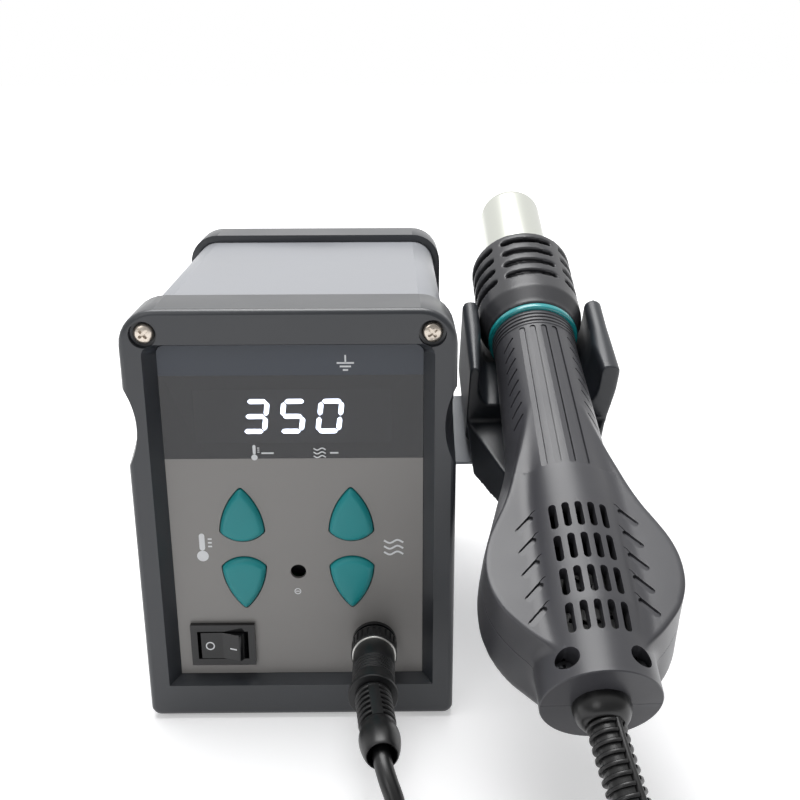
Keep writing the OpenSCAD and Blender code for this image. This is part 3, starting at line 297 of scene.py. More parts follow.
# %% Light
FILL = 0.4
world = bpy.data.worlds.new("studio")
bpy.context.scene.world = world
world.use_nodes = True
tree = world.node_tree
tree.nodes.clear()
path = add(tree, "LightPath")
ways = add(tree, "TexCoord")
behind = add(tree, "VectorMath", (0, ways.outputs["Generated"]), operation="DOT_PRODUCT")
behind.inputs[1].default_value = (-0.1, 0.7, 0.7)
room = add(tree, "MapRange", ("Value", behind.outputs["Value"]), From_Min=-0.35, From_Max=0.5,
           To_Min=0.12, To_Max=1.0)
strength = add(tree, "Math", (0, room.outputs["Result"]), (1, path.outputs["Is Glossy Ray"]),
               operation="MULTIPLY")
for ray in ("Is Camera Ray", "Is Transmission Ray"):
    strength = add(tree, "Math", (0, strength.outputs[0]), (1, path.outputs[ray]),
                   operation="MAXIMUM")
strength = add(tree, "Math", (0, strength.outputs[0]), operation="MAXIMUM")
strength.inputs[1].default_value = FILL
sky = add(tree, "Background", ("Strength", strength.outputs[0]), Color=(1, 1, 1, 1))
out = tree.nodes.new("ShaderNodeOutputWorld")
tree.links.new(sky.outputs[0], out.inputs["Surface"])


def soft_lamp(name, at, aim, size, watts):
    lamp = bpy.data.objects.new(name, bpy.data.lights.new(name, "AREA"))
    lamp.data.shape = "DISK"
    lamp.data.size = size
    lamp.data.energy = watts
    lamp.location = at
    lamp.rotation_euler = (Vector(aim) - Vector(at)).to_track_quat("-Z", "Y").to_euler()
    bpy.context.scene.collection.objects.link(lamp)


soft_lamp("lamp_above", (-0.05, 0.12, 1.0), (0.03, -0.03, 0), 0.8, 10.0)
soft_lamp("lamp_front", (-0.55, -0.95, 0.8), (0.03, 0, 0.06), 0.6, 2.0)
print("lamps:", len(bpy.data.lights))

# %% [markdown]
# ## Finishes
# Every finish is a small recipe: a base colour that drifts a little over the surface, a
# roughness that drifts too, and a fine grain in the bump. Moulded plastic has a spark-eroded
# grain of about a third of a millimetre, powder paint an orange-peel of about a millimetre.
# Object coordinates carry all of it, as pieces have their place in their mesh.

# %% A recipe for finishes
BROAD, ROUGH_DRIFT = 28, 0.06
EDGE_FROM, EDGE_FULL = 0.51, 0.6
finishes = {}


def colour(red, green, blue):
    """A screen colour of 0 to 255 as linear light."""
    return tuple(((c / 255 + 0.055) / 1.055) ** 2.4 if c > 10 else c / 3294.6
                 for c in (red, green, blue)) + (1,)


def finish(name, base, rough, grain, depth, drift=0.12, stretch=(1, 1, 1), painted_edge_light=0.0, **shader):
    """Keep a finish: grain and its depth in millimetres, drift of tone, a painted edge highlight.
    """
    material, tree = tree_of(name)
    where = add(tree, "TexCoord")
    turned = add(tree, "Mapping", ("Vector", where.outputs["Object"]), Scale=stretch)
    fine = add(tree, "TexNoise", ("Vector", turned.outputs["Vector"]), Scale=1 / (grain * mm),
               Detail=3, Roughness=0.6)
    broad = add(tree, "TexNoise", ("Vector", turned.outputs["Vector"]), Scale=BROAD, Detail=4)
    r, g, b, _ = base
    shade = add(tree, "ValToRGB", ("Fac", broad.outputs["Fac"]))
    shade.color_ramp.elements[0].color = (r * (1 - drift), g * (1 - drift), b * (1 - drift), 1)
    shade.color_ramp.elements[1].color = (r * (1 + drift), g * (1 + drift), b * (1 + drift), 1)
    shade.color_ramp.elements[0].position, shade.color_ramp.elements[1].position = 0.3, 0.7
    tone = shade.outputs["Color"]
    # Painted highlight: edges that pointiness finds convex turn paler, as if they caught the
    # light.
    if painted_edge_light:
        edge = add(tree, "NewGeometry")
        high = add(tree, "MapRange", ("Value", edge.outputs["Pointiness"]),
                   From_Min=EDGE_FROM, From_Max=EDGE_FULL, To_Min=0, To_Max=painted_edge_light)
        lit_edges = add(tree, "Mix", ("Factor", high.outputs["Result"]), data_type="RGBA")
        tree.links.new(tone, lit_edges.inputs["A"])
        lit_edges.inputs["B"].default_value = tuple(min(1, c * 2.2 + 0.03) for c in (r, g, b)) + (1,)
        tone = lit_edges.outputs["Result"]
    spread = add(tree, "MapRange", ("Value", broad.outputs["Fac"]), From_Min=0.3, From_Max=0.7,
                 To_Min=max(rough - ROUGH_DRIFT, 0.02), To_Max=rough + ROUGH_DRIFT)
    bump = add(tree, "Bump", ("Height", fine.outputs["Fac"]), Strength=1.0, Distance=depth * mm)
    body = add(tree, "BsdfPrincipled", ("Base Color", tone),
               ("Roughness", spread.outputs["Result"]), ("Normal", bump.outputs["Normal"]),
               **shader)
    surface(tree, body)
    finishes[name] = material


finish("frame_plastic", colour(39, 42, 47), 0.38, 0.35, 0.012, Coat_Weight=0.4,
       Coat_Roughness=0.3)
finish("painted_sleeve", colour(146, 148, 153), 0.36, 0.9, 0.012, 0.05)
finish("sleeve_back", colour(140, 143, 148), 0.4, 0.9, 0.012, 0.05)
finish("black_plastic", colour(14, 15, 17), 0.36, 0.35, 0.012)
finish("strip", colour(64, 69, 78), 0.42, 0.5, 0.01)
finish("control_metal", colour(132, 130, 128), 0.42, 0.16, 0.006, 0.04,
       stretch=(0.25, 1, 1), Metallic=0.25)
finish("board_green", colour(46, 107, 70), 0.35, 0.8, 0.02)
# The trimmer's finish is near black: painted shade, as it sits deep in the panel.
finish("trimmer_blue", colour(22, 24, 30), 0.35, 0.5, 0.01)
finish("brass", colour(199, 162, 74), 0.3, 0.3, 0.01, Metallic=1.0)
finish("black_gloss", colour(18, 18, 20), 0.16, 0.8, 0.004)
# Some finishes below add a painted highlight on convex edges: the teal and black rubber, the
# holder and the shells.
finish("teal_rubber", colour(14, 138, 142), 0.42, 0.25, 0.01, 0.08, painted_edge_light=0.15)
finish("teal_ring", colour(28, 148, 152), 0.2, 0.6, 0.003, Coat_Weight=0.6)
finish("zinc", colour(186, 186, 182), 0.34, 0.3, 0.01, Metallic=1.0)
finish("black_rubber", colour(13, 13, 14), 0.32, 0.25, 0.01, painted_edge_light=0.1)
finish("board_parts", colour(58, 62, 70), 0.4, 0.6, 0.02)
finish("core_steel", colour(119, 120, 124), 0.4, 0.5, 0.03, stretch=(1, 6, 1), Metallic=0.8)
finish("coil_tape", colour(178, 108, 54), 0.3, 0.8, 0.02)
finish("screw_steel", colour(206, 196, 184), 0.26, 0.25, 0.01, Metallic=0.9)
finish("bracket_paint", colour(142, 146, 152), 0.36, 0.9, 0.012, 0.05)
finish("holder_plastic", colour(37, 40, 45), 0.34, 0.35, 0.012, painted_edge_light=0.3)
finish("shell_plastic", colour(58, 58, 62), 0.36, 0.3, 0.016, 0.08, painted_edge_light=0.25)
finish("dark_screw", colour(70, 71, 74), 0.35, 0.3, 0.01, Metallic=0.9)
finish("collar_plastic", colour(52, 52, 55), 0.34, 0.3, 0.014, 0.08)
finish("tube_steel", colour(214, 216, 208), 0.27, 0.25, 0.004, 0.03, stretch=(1, 0.1, 0.1),
       Metallic=1.0)
finish("mica", colour(201, 191, 166), 0.4, 0.7, 0.02)
finish("heater_wire", colour(141, 138, 134), 0.35, 0.3, 0.01, Metallic=1.0)
finish("print_white", colour(226, 228, 230), 0.5, 0.3, 0.004, 0.04)
finish("reed_glass", colour(159, 180, 176), 0.1, 0.8, 0.002, Transmission_Weight=0.7)
print("finishes:", len(finishes))

# %% Window and lit figures
window, tree = tree_of("smoked_window")
where = add(tree, "TexCoord")
haze = add(tree, "TexNoise", ("Vector", where.outputs["Object"]), Scale=60, Detail=5)
matted = add(tree, "MapRange", ("Value", haze.outputs["Fac"]), To_Min=0.03, To_Max=0.1)
glass = add(tree, "BsdfPrincipled", ("Roughness", matted.outputs["Result"]), IOR=1.49,
            Base_Color=(0.07, 0.072, 0.08, 1), Transmission_Weight=0.6)
surface(tree, glass)
finishes["smoked_window"] = window
lit, tree = tree_of("figures")
where = add(tree, "TexCoord")
cells = add(tree, "TexNoise", ("Vector", where.outputs["Object"]), Scale=500, Detail=2)
level = add(tree, "MapRange", ("Value", cells.outputs["Fac"]), To_Min=28, To_Max=40)
light = add(tree, "Emission", ("Strength", level.outputs["Result"]),
            Color=(0.78, 0.86, 1.0, 1))
surface(tree, light)
finishes["figures"] = lit

# %% Every CAD node takes the finish of its slot
slot_of = {}
for name, obj in node.items():
    slot_of[name] = obj.data.materials[0].name.split(".")[0]
    obj.data.materials.clear()
    obj.data.materials.append(finishes[slot_of[name]])
# The parts behind the vents, and the trimmer's rotor deep in the panel, take black plastic
# whatever their slot: painted shade for the dark inside.
for name in ("trimmer_rotor", "fan_motor", "fan_wheel"):
    node[name].data.materials[0] = finishes["black_plastic"]
print("slots:", len(set(slot_of.values())), "for", len(slot_of), "nodes")

# %% Settle a piece
def settle(obj, body, slot, *nodes, angle=35):
    """Smooth a piece, give it its finish and body, and let it stand for CAD nodes."""
    obj.data.materials.clear()
    obj.data.materials.append(finishes[slot])
    obj.data.shade_smooth()
    obj.data.set_sharp_from_angle(angle=math.radians(angle))
    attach(obj, body)
    if nodes:
        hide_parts(*nodes)
    return obj


def applied(obj):
    """Give a piece the mesh its modifiers make, and remove them."""
    graph = bpy.context.evaluated_depsgraph_get()
    made = bpy.data.meshes.new_from_object(obj.evaluated_get(graph), depsgraph=graph)
    obj.modifiers.clear()
    obj.data = made
    return obj


def carved(obj, cutter):
    """Cut one mesh out of another, which is then used up."""
    cut = obj.modifiers.new("cuts", "BOOLEAN")
    cut.operation, cut.solver, cut.object, cut.use_self = "DIFFERENCE", "EXACT", cutter, True
    applied(obj)
    bpy.data.objects.remove(cutter)
    return obj


# %% [markdown]
# ## Eased and moulded copies
# A machine part has no razor edges. `eased` takes a copy of a CAD node, joins its triangles
# back into flat faces and bevels the edges. `keep_flat` then keeps the broad faces from
# shading like the bevels round them. `moulded` remakes a copy as one even skin and relaxes
# it, which leaves the soft fillets of a moulding. The head collar is made so, because bevels
# left streaks between its many slots.

# %% Eased and moulded copies
FLAT_ANGLE, EDGE_ANGLE, BROAD_FACE = math.radians(0.6), math.radians(38), 1.2


def copied(name, *sources):
    """One welded mesh from copies of CAD nodes."""
    bm = bmesh.new()
    for source in sources:
        mesh = node[source].data.copy()
        mesh.transform(node[source].matrix_world)
        bm.from_mesh(mesh)
        bpy.data.meshes.remove(mesh)
    bmesh.ops.remove_doubles(bm, verts=bm.verts, dist=2e-6)
    mesh = bpy.data.meshes.new(name)
    bm.to_mesh(mesh)
    bm.free()
    return link(name, mesh)


def eased(name, width, *sources):
    """A copy with its sharp edges bevelled, in millimetres."""
    obj = copied(name, *sources)
    bm = bmesh.new()
    bm.from_mesh(obj.data)
    bmesh.ops.dissolve_limit(bm, angle_limit=FLAT_ANGLE, verts=bm.verts, edges=bm.edges)
    bm.to_mesh(obj.data)
    bm.free()
    bevel = obj.modifiers.new("edges", "BEVEL")
    bevel.width, bevel.segments = width * mm, 2
    bevel.limit_method, bevel.angle_limit = "ANGLE", EDGE_ANGLE
    bevel.use_clamp_overlap = True
    return applied(obj)


def keep_flat(obj):
    """Keep the shading of broad flat faces apart from the bevels round them."""
    bm = bmesh.new()
    bm.from_mesh(obj.data)
    for face in bm.faces:
        if face.calc_area() > BROAD_FACE * mm * face.calc_perimeter():
            for edge in face.edges:
                edge.smooth = False
    bm.to_mesh(obj.data)
    bm.free()


def moulded(name, voxel, passes, *sources):
    """A copy remade as one skin of small voxels and relaxed in a few passes."""
    obj = copied(name, *sources)
    skin = obj.modifiers.new("skin", "REMESH")
    skin.mode, skin.voxel_size = "VOXEL", voxel * mm
    relax = obj.modifiers.new("relax", "SMOOTH")
    relax.factor, relax.iterations = 0.5, passes
    return applied(obj)


body_of = {name: obj.parent.name.split(":")[1] for name, obj in node.items()}
EASED = {"front_frame": 0.45, "rear_frame": 0.45, "sleeve": 0.25, "bracket": 0.3,
         "switch_frame": 0.35, "switch_rocker": 0.3, "plug_shell": 0.25, "coupling_ring": 0.2,
         "grip_ring": 0.3, "mains_inlet": 0.3, "back_plate": 0.2,
         "control_plate": 0.15, "feet": 0.3}
for name, width in EASED.items():
    piece = eased(name + "_eased", width, name)
    settle(piece, body_of[name], slot_of[name], name)
    keep_flat(piece)
    print(piece.name, len(piece.data.polygons), "faces")

collar = moulded("head_collar_moulded", 0.6, 2, "head_collar")
settle(collar, body_of["head_collar"], slot_of["head_collar"], "head_collar", angle=50)
print("collar faces:", len(collar.data.polygons))

# %% [markdown]
# ## Hand piece
# The hand piece is two half shells. Their outer form is worked out in rings: for every
# station along the axis and every direction round it, the distance to a turned spine and to
# the flat fan housing are joined by a soft maximum, which makes the fillet between them. The
# three lines at the grip's end are part of the same form. Flutes, vents, louvres, slits and
# screw wells are cut afterwards.

# %% The hand piece's own frame
SEAT, TILT, TOE = Vector((81.7, -1.5, 110.2)), math.radians(24.5), math.radians(1.2)
SHELL_L, WHEEL_AT = 146, 39.5
to_bench = (IN_MM @ Matrix.Translation(SEAT)
            @ Matrix.Rotation(TOE, 4, "Z") @ Matrix.Rotation(TILT, 4, "X")
            @ Matrix.Translation((0, -SHELL_L, 0)))

# The hollow: duct, fan chamber and heater bore, with the heights of the chamber.
DUCT_R, CHAMBER_R, BORE_R = 5.3, 27.3, 12.3
DUCT_END, CHAMBER_END, CHAMBER_UP, CHAMBER_DOWN, WALL_T = 9, 62, 7.5, 11, 2

# The grip: four flutes in a slightly sunk length, and three lines after it.
FLUTE_ANGLES = (-25.7, -10.8, 4.6, 20.4)
FLUTE_W, FLUTE_FROM, FLUTE_TO = 2.1, 71.2, 138.4
SUNK, SUNK_FROM, SUNK_TO = 0.3, FLUTE_FROM - 0.2, 139.3
GRIP_LINES, LINE_DEEP, LINE_HALF = (140.5, 142.3, 144.1), 0.45, 0.32

# The turned spine's radius, and the half widths of the housing's face and of its side wall,
# each after the distance along the axis.
SPINE_LINE = ((0, 16.05), (0.3, 16.3), (13, 16.3), (22, 17), (60, 17), (75, 16.6), (110, 15.6),
              (137, 14.8), (146, 14.8))
WING_LINE = [(2, 1, 8), (5.1, 5, 11.5), (8, 9, 14.5), (11.3, 12.9, 18), (14.3, 16.6, 21),
             (18.1, 20.2, 23.7), (23.1, 24, 26.2), (29, 26.6, 27.9), (35, 27.6, 28.5),
             (41, 27.4, 28.3), (47, 26, 27.3), (53, 23.5, 25.9), (59, 20.6, 24.3),
             (66, 17.9, 22.3), (75, 15.2, 19.9), (84, 12.5, 17.4), (92, 10.1, 15),
             (100, 7.7, 12.5)]
WING_Z, DRUM_BACK, WALL_LOW = 10.8, 14, 10
FACE_EDGE, BACK_EDGE, BLEND = 1.5, 6, 2.5
wing_t, wing_face, wing_side = np.array(smooth_line([Vector(row) for row in WING_LINE], 8)).T


def spine_radius(t):
    """The turned body, with the sunk length and the lines of the grip."""
    sunk = SUNK * (SUNK_FROM < t < SUNK_TO)
    line = LINE_DEEP * any(abs(t - at) < LINE_HALF for at in GRIP_LINES)
    return float(np.interp(t, *zip(*SPINE_LINE)) - sunk - line)


def face_top(t):
    """Height of the housing's flat face, which rises a little towards the grip."""
    return WING_Z + 1.5 * ease(t, 48, 92)


def softer(a, b, reach):
    """The smaller of two distances, with the corner between them rounded."""
    return min(a, b) - max(reach - abs(a - b), 0) ** 2 / (4 * reach)


def form_radius(t, angle):
    """Distance from the axis to the skin; the angle is 0 to the right and 90 degrees up."""
    c, s = abs(math.cos(angle)), math.sin(angle)
    spine, wing = spine_radius(t), 0
    if wing_t[0] < t < wing_t[-1]:
        face, side = (float(np.interp(t, wing_t, widths)) for widths in (wing_face, wing_side))
        top = face_top(t)
        lean = (side - face) / (top + WALL_LOW)
        wall = (face + lean * top) / max(c + lean * s, 0.05)
        flat, edge = (top, FACE_EDGE) if s > 0 else (DRUM_BACK - 5 * ease(t, 55, 88), BACK_EDGE)
        wing = softer(flat / max(abs(s), 1e-4), wall, edge)
    near = max(BLEND - abs(spine - wing), 0)
    return max(spine, wing) + near * near / (4 * BLEND)


def inner_radius(t, angle):
    """Distance from the axis to the hollow."""
    if t < DUCT_END:
        return DUCT_R
    if t > CHAMBER_END:
        return BORE_R
    c, s = abs(math.cos(angle)), math.sin(angle)
    half = math.sqrt(max(CHAMBER_R ** 2 - (t - WHEEL_AT) ** 2, 0))
    high = CHAMBER_UP if s > 0 else CHAMBER_DOWN
    room = min(half / max(c, 1e-6), high / max(abs(s), 1e-6))
    return min(max(room, BORE_R + 0.3), form_radius(t, angle) - WALL_T)


# Stations lie closer where the form turns, and in pairs at every step.
stations = [*np.arange(1.5, 24, 0.7), *np.arange(24, 60, 1.25), *np.arange(60, SHELL_L, 1.6),
            0, 0.3, DUCT_END, DUCT_END + 0.05, CHAMBER_END, CHAMBER_END + 0.05,
            SUNK_FROM - 0.01, SUNK_FROM + 0.15, SUNK_TO - 0.1, SUNK_TO + 0.05, SHELL_L]
stations += [line + d for line in GRIP_LINES for d in (-0.5, -0.31, 0.31, 0.5)]
stations.sort()
flank = [*np.linspace(0.25, 15, 14), *np.linspace(15.5, 42, 66), *np.linspace(43, 89, 42)]
upper = sorted(flank + [90] + [180 - a for a in flank])
lower = list(np.linspace(180.25, 359.75, 110))


def half_shell(name, angles):
    """The skin over these angles, closed by every third direction of the hollow."""
    out, back = [math.radians(a) for a in angles], [math.radians(a) for a in angles[::-3]]
    rings = []
    for t in stations:
        ring = [(form_radius(t, a), a) for a in out] + [(inner_radius(t, a), a) for a in back]
        rings.append([to_bench @ Vector((r * math.cos(a), t, r * math.sin(a)))
                      for r, a in ring])
    return rings_piece(name, rings)


front_half = half_shell("handle_front_half", upper)
back_half = half_shell("handle_back_half", lower)
print("shell faces:", len(front_half.data.polygons), len(back_half.data.polygons))

# %% [markdown]
# ## Holder
# The holder is a thick moulding with soft edges everywhere, so it is a relaxed copy of the
# CAD shape. Its arms are wedges that stand a little further out than the CAD's. Their points
# are moved outwards, by amounts that change along the hand piece's own axis.

# %% Holder
holder_skin = moulded("holder_moulded", 0.55, 5, "holder")
ARM_IN, ARM_T, ARM_LOW, SADDLE_HALF = 19.3, 5.7, 123, 12
# The move of each arm's inner and outer face: at its top end, and the change down to its low
# end. Only its size counts, as the points always move outwards.
ARM_PUSH = {"right": ((0.5, -1.4), (1.1, 0.7)), "left": ((0, -2.3), (0, 0))}
to_handle = to_bench.inverted()
for vertex in holder_skin.data.vertices:
    x, t, z = to_handle @ vertex.co
    out = min(max((abs(x) - ARM_IN) / ARM_T, 0), 1)
    low = min(max((SHELL_L - t) / (SHELL_L - ARM_LOW), 0), 1)
    inner, outer = (top + more * low for top, more in ARM_PUSH["right" if x > 0 else "left"])
    push = (inner * (1 - out) + outer * out) * ease(z, -22, 0)
    if abs(x) > SADDLE_HALF:
        vertex.co = to_bench @ Vector((x + math.copysign(push, x), t, z))
settle(holder_skin, "base", "holder_plastic", "holder", angle=60)
print("holder faces:", len(holder_skin.data.polygons))

# %% Cut the vents, louvres, slits and screw wells
def prism(outline, low, high, place):
    """Points and faces of a straight prism; outline in x and y, heights may be lists."""
    n = len(outline)
    lows = low if isinstance(low, (list, tuple)) else [low] * n
    points = [place @ Vector((x, y, z)) for (x, y), z in zip(outline, lows)]
    points += [place @ Vector((x, y, high)) for x, y in outline]
    faces = [tuple(range(n))[::-1], tuple(range(n, 2 * n))]
    faces += [(k, (k + 1) % n, n + (k + 1) % n, n + k) for k in range(n)]
    return points, faces


def joined(name, parts):
    """One mesh from several lots of points and faces."""
    points, faces = [], []
    for some, polygons in parts:
        faces += [tuple(i + len(points) for i in face) for face in polygons]
        points += some
    return outward(mesh_piece(name, points, faces))


def slot_outline(length, width, steps=6):
    """A long hole with round ends."""
    reach, r = length / 2 - width / 2, width / 2
    turn = [math.radians(180 * k / steps) for k in range(steps + 1)]
    return ([(r * math.cos(a), reach + r * math.sin(a)) for a in turn]
            + [(-r * math.cos(a), -reach - r * math.sin(a)) for a in turn])


CUT_TOP, DEEP = 26, 1.3
VENT_ROWS, VENT_PITCH = (17, 28.3, 39.6, 50.9), 3.68
cuts = [prism(slot_outline(8.9, 2.1), 4, CUT_TOP,
              to_bench @ Matrix.Translation((i * VENT_PITCH, t, 0)))
        for t in VENT_ROWS for i in range(-2, 3)]

# Louvres: a slanted shallow scoop with a dark slit along its deep side.
LOUVRES = {-1: (20.9, 28.8, 36.6, 44.5, 52.4), 1: (23.1, 30.8, 38.6, 46.5, 54.5)}
LOUVRE_X, LOUVRE_TURN, SCOOP, SCOOP_SLANT = 14.5, 41.5, 0.26, 0.18
scoop = [(x, y - 1.1) for x, y in slot_outline(7.4, 2.0)]
slit = [(-0.85, -3.6), (-0.87, 3.7), (-0.62, 4.25), (-0.2, 4.6), (-0.2, 4.3), (-0.42, 4.05),
        (-0.57, 3.6), (-0.57, -3.6)]
for side, rows in LOUVRES.items():
    for t in rows:
        place = (to_bench @ Matrix.Translation((side * LOUVRE_X, t, 0))
                 @ Matrix.Rotation(math.radians(side * LOUVRE_TURN), 4, "Z"))
        top = face_top(t)
        floor_z = [top - SCOOP - side * x * SCOOP_SLANT for x, _ in scoop]
        cuts.append(prism(scoop, floor_z, CUT_TOP, place))
        cuts.append(prism([(-side * x, y) for x, y in slit], top - DEEP, CUT_TOP, place))

# Flutes: long shallow holes that follow the grip's taper, with a dark line on one side.
FLUTE_DEEP, FLUTE_SLANT, TAPER = 0.32, 0.12, 0.0288
LINE_OUT, LINE_IN = 1.03, 0.72
flute_mid = (FLUTE_FROM + FLUTE_TO) / 2
flute = slot_outline(FLUTE_TO - FLUTE_FROM, FLUTE_W, 10)
reach = (FLUTE_TO - FLUTE_FROM) / 2 - FLUTE_W / 2
line = [(LINE_OUT, -reach), (LINE_OUT, reach)]
line += [(LINE_OUT * math.cos(a), reach + LINE_OUT * math.sin(a))
         for a in np.linspace(0.3, 2.4, 8)]
line += [(LINE_IN * math.cos(a), reach + LINE_IN * math.sin(a))
         for a in np.linspace(2.4, 0.3, 8)]
line += [(LINE_IN, reach), (LINE_IN, -reach)]
middle = spine_radius(flute_mid)
for turn in FLUTE_ANGLES:
    place = (to_bench @ Matrix.Rotation(math.radians(turn), 4, "Y")
             @ Matrix.Translation((0, flute_mid, 0)))
    floor_z = [middle - TAPER * y - FLUTE_DEEP - FLUTE_SLANT * x for x, y in flute]
    cuts.append(prism(flute, floor_z, CUT_TOP, place))
    cuts.append(prism(line, [middle - TAPER * y - DEEP for _, y in line], CUT_TOP, place))

# Slanted slits on the flanks, and the wells of the two screws.
SLITS, SLIT_FROM, SLIT_PITCH = 8, FLUTE_FROM + 23.5, 5.5
SLIT_AT, SLIT_TURN, SLIT_DEEP = 50, 42, 0.7
WELL_X, WELL_T, WELL_R, WELL_FLOOR = 9.6, 6, 3, 6.2
for k in range(SLITS):
    t = SLIT_FROM + SLIT_PITCH * k
    for side in (-1, 1):
        place = (to_bench @ Matrix.Rotation(math.radians(side * SLIT_AT), 4, "Y")
                 @ Matrix.Translation((0, t, spine_radius(t) - SLIT_DEEP))
                 @ Matrix.Rotation(math.radians(-side * SLIT_TURN), 4, "Z"))
        cuts.append(prism(bar(0, 0, 6.4, 0.8), 0, 4, place))
for side in (-1, 1):
    cuts.append(prism(circle(WELL_R, 40), WELL_FLOOR, CUT_TOP,
                      to_bench @ Matrix.Translation((side * WELL_X, WELL_T, 0))))
carved(front_half, joined("handle_cuts", cuts))
settle(front_half, "handle", "shell_plastic", "shell_front", angle=32)
settle(back_half, "handle", "shell_plastic", "shell_back", angle=32)
print("carved faces:", len(front_half.data.polygons))

# %% [markdown]
# ## Buttons
# The four buttons are pick-shaped: a point at one end, a broad shallow arc at the other, and
# full sides. Each ring of points is the same outline drawn in by a little more, up to a
# slightly domed top, and behind the panel it runs on as a flange and a stem.

# %% Buttons
Y_PANEL, OUTLINE = -65, 120
BUTTON_W, BUTTON_H, BUTTON_LOW, SIDE_ROUND = 14, 18.4, 0.18 * 18.4, 1.35
BUTTON_X, BUTTONS_Z, BUTTON_UP = 17.3, 60.1, 12.05


def pick_outline(inset):
    """The button's outline round its centre, as x and z, drawn in by an inset."""
    w, side_h = BUTTON_W / 2, BUTTON_H - BUTTON_LOW
    z0, chord = -BUTTON_H / 2, math.hypot(w, side_h)
    side_r = SIDE_ROUND * chord
    reach = math.sqrt(side_r ** 2 - chord ** 2 / 4)
    cx = w / 2 - reach * side_h / chord
    cz = z0 + BUTTON_LOW + side_h / 2 - reach * w / chord
    base_r = (w * w + BUTTON_LOW ** 2) / (2 * BUTTON_LOW)
    start_z, sizes = -1.5, []
    ways = circle(1, OUTLINE)
    for c, sn in ways:
        near = math.inf
        for x, z, r in ((cx, cz, side_r), (-cx, cz, side_r), (0, z0 + base_r, base_r)):
            if x == 0 and sn > -0.3:
                continue
            px, pz = -x, start_z - z
            b = px * c + pz * sn
            near = min(near, -b + math.sqrt(b * b - px * px - pz * pz + (r - inset) ** 2))
        sizes.append(near)
    for _ in range(2):
        sizes = [(sizes[k - 1] + 2 * sizes[k] + sizes[(k + 1) % OUTLINE]) / 4
                 for k in range(OUTLINE)]
    return [(r * c, start_z + r * sn) for r, (c, sn) in zip(sizes, ways)]


BUTTONS = {"button_temp_up": (-1, 1), "button_temp_down": (-1, -1), "button_air_up": (1, 1),
           "button_air_down": (1, -1)}
button_rows = [(pick_outline(i), y) for i, y in (
    (5.4, -1.9), (3.6, -1.87), (2.2, -1.8), (1.5, -1.7), (1.15, -1.56), (0.75, -1.24),
    (0.4, -0.86), (0.14, -0.5), (0.03, -0.2), (0, 0.1), (0, 3.65))]
flange, stem = pick_outline(-1.2), circle(1.75, OUTLINE)
button_rows += [(flange, 3.7), (flange, 4.7), (stem, 4.71), (stem, 8.1)]
for name, (sx, sz) in BUTTONS.items():
    rings = [[Vector((sx * BUTTON_X + x, Y_PANEL + y, BUTTONS_Z + sz * (BUTTON_UP + z))) * mm
              for x, z in outline] for outline, y in button_rows]
    piece = rings_piece(name + "_domed", rings)
    settle(piece, body_of[name], "teal_rubber", name, angle=50)
print("button faces:", len(piece.data.polygons))

# %% [markdown]
# ## Prints
# The marks on the panel are small raised prints, a twentieth of a millimetre thick: a
# thermometer, waves of air, an earth mark, a trimmer mark, and O and I on the rocker. They
# are plain pictograms where the photograph has words.

# %% Prints
def band(line, width):
    """A strip of even width along a line of points."""
    left, right_side = [], []
    for i, (x, z) in enumerate(line):
        (ax, az), (bx, bz) = line[max(i - 1, 0)], line[min(i + 1, len(line) - 1)]
        size = math.hypot(bx - ax, bz - az)
        nx, nz = (az - bz) / size * width / 2, (bx - ax) / size * width / 2
        left.append((x + nx, z + nz))
        right_side.append((x - nx, z - nz))
    return left + right_side[::-1]


def ring_mark(x, z, r, width):
    """A ring, as one strip that meets itself."""
    turn = np.linspace(0, 2 * math.pi, 25)
    return band([(x + r * math.cos(a), z + r * math.sin(a)) for a in turn], width)


def thermometer(x, z, size):
    """A tube over a bulb, with three ticks."""
    tube = [(x + size * px, z + size * (pz + 0.4)) for px, pz in slot_outline(1.16, 0.34)]
    bulb = [(x + size * px, z + size * (pz - 0.55)) for px, pz in circle(0.36, 24)]
    ticks = [bar(x + size * 0.48, z + size * (0.1 + 0.25 * k), size * 0.24, size * 0.1)
             for k in range(3)]
    return [tube, bulb] + ticks


def waves(x, z, size):
    """Three waves of air."""
    return [band([(x + size * t, z + size * (0.5 * row + 0.13 * math.sin(5.2 * t)))
                  for t in np.linspace(-0.75, 0.75, 19)], size * 0.15) for row in (-1, 0, 1)]


def printed(name, marks, place, body):
    """Marks as one thin raised piece."""
    piece = joined(name, [prism(mark, 0, PRINT_T, place) for mark in marks])
    settle(piece, body, "print_white", angle=30)
    print(name, len(marks), "marks")


PRINT_T, upright = 0.05, Matrix.Rotation(math.pi / 2, 4, "X")
facing = IN_MM @ Matrix.Translation((0, Y_PANEL, 0)) @ upright
# Below the figures, beside the buttons, below the trimmer, and an earth mark in the header.
marks = thermometer(-12.2, 93.1, 2.7) + [bar(-8.1, 93, 3.8, 0.5)]
marks += waves(8, 93, 2.5) + [bar(12.5, 93, 2.6, 0.5)]
marks += thermometer(-30.3, 60.6, 5.2) + waves(30.7, 60.4, 4.1)
marks += [ring_mark(-0.4, 44.8, 0.95, 0.28), bar(-0.4, 44.8, 1.3, 0.28)]
marks += [bar(16.5, 123.3, 0.5, 2.4), bar(16.5, 122, 5.2, 0.55), bar(16.5, 120.9, 3.4, 0.55),
          bar(16.5, 119.8, 1.6, 0.55)]
printed("panel_print", marks, facing, "base")
rocker_face = IN_MM @ Matrix.Translation((-25.4, -66.9, 25.8))
printed("rocker_print", [ring_mark(-4.2, 0, 1.3, 0.4)], rocker_face @ upright,
        body_of["switch_rocker"])
printed("rocker_print_on", [bar(3.8, -0.5, 2.4, 0.45)],
        rocker_face @ Matrix.Rotation(math.radians(-20), 4, "Z") @ upright,
        body_of["switch_rocker"])

# %% [markdown]
# ## Repeated parts
# A small Geometry Nodes group puts copies of a part at points, each turned as an attribute
# says. It places the screws of the frames and the ribs of the relief boot and the plug's
# boot. `lathe` and `swept` make the round parts it copies.

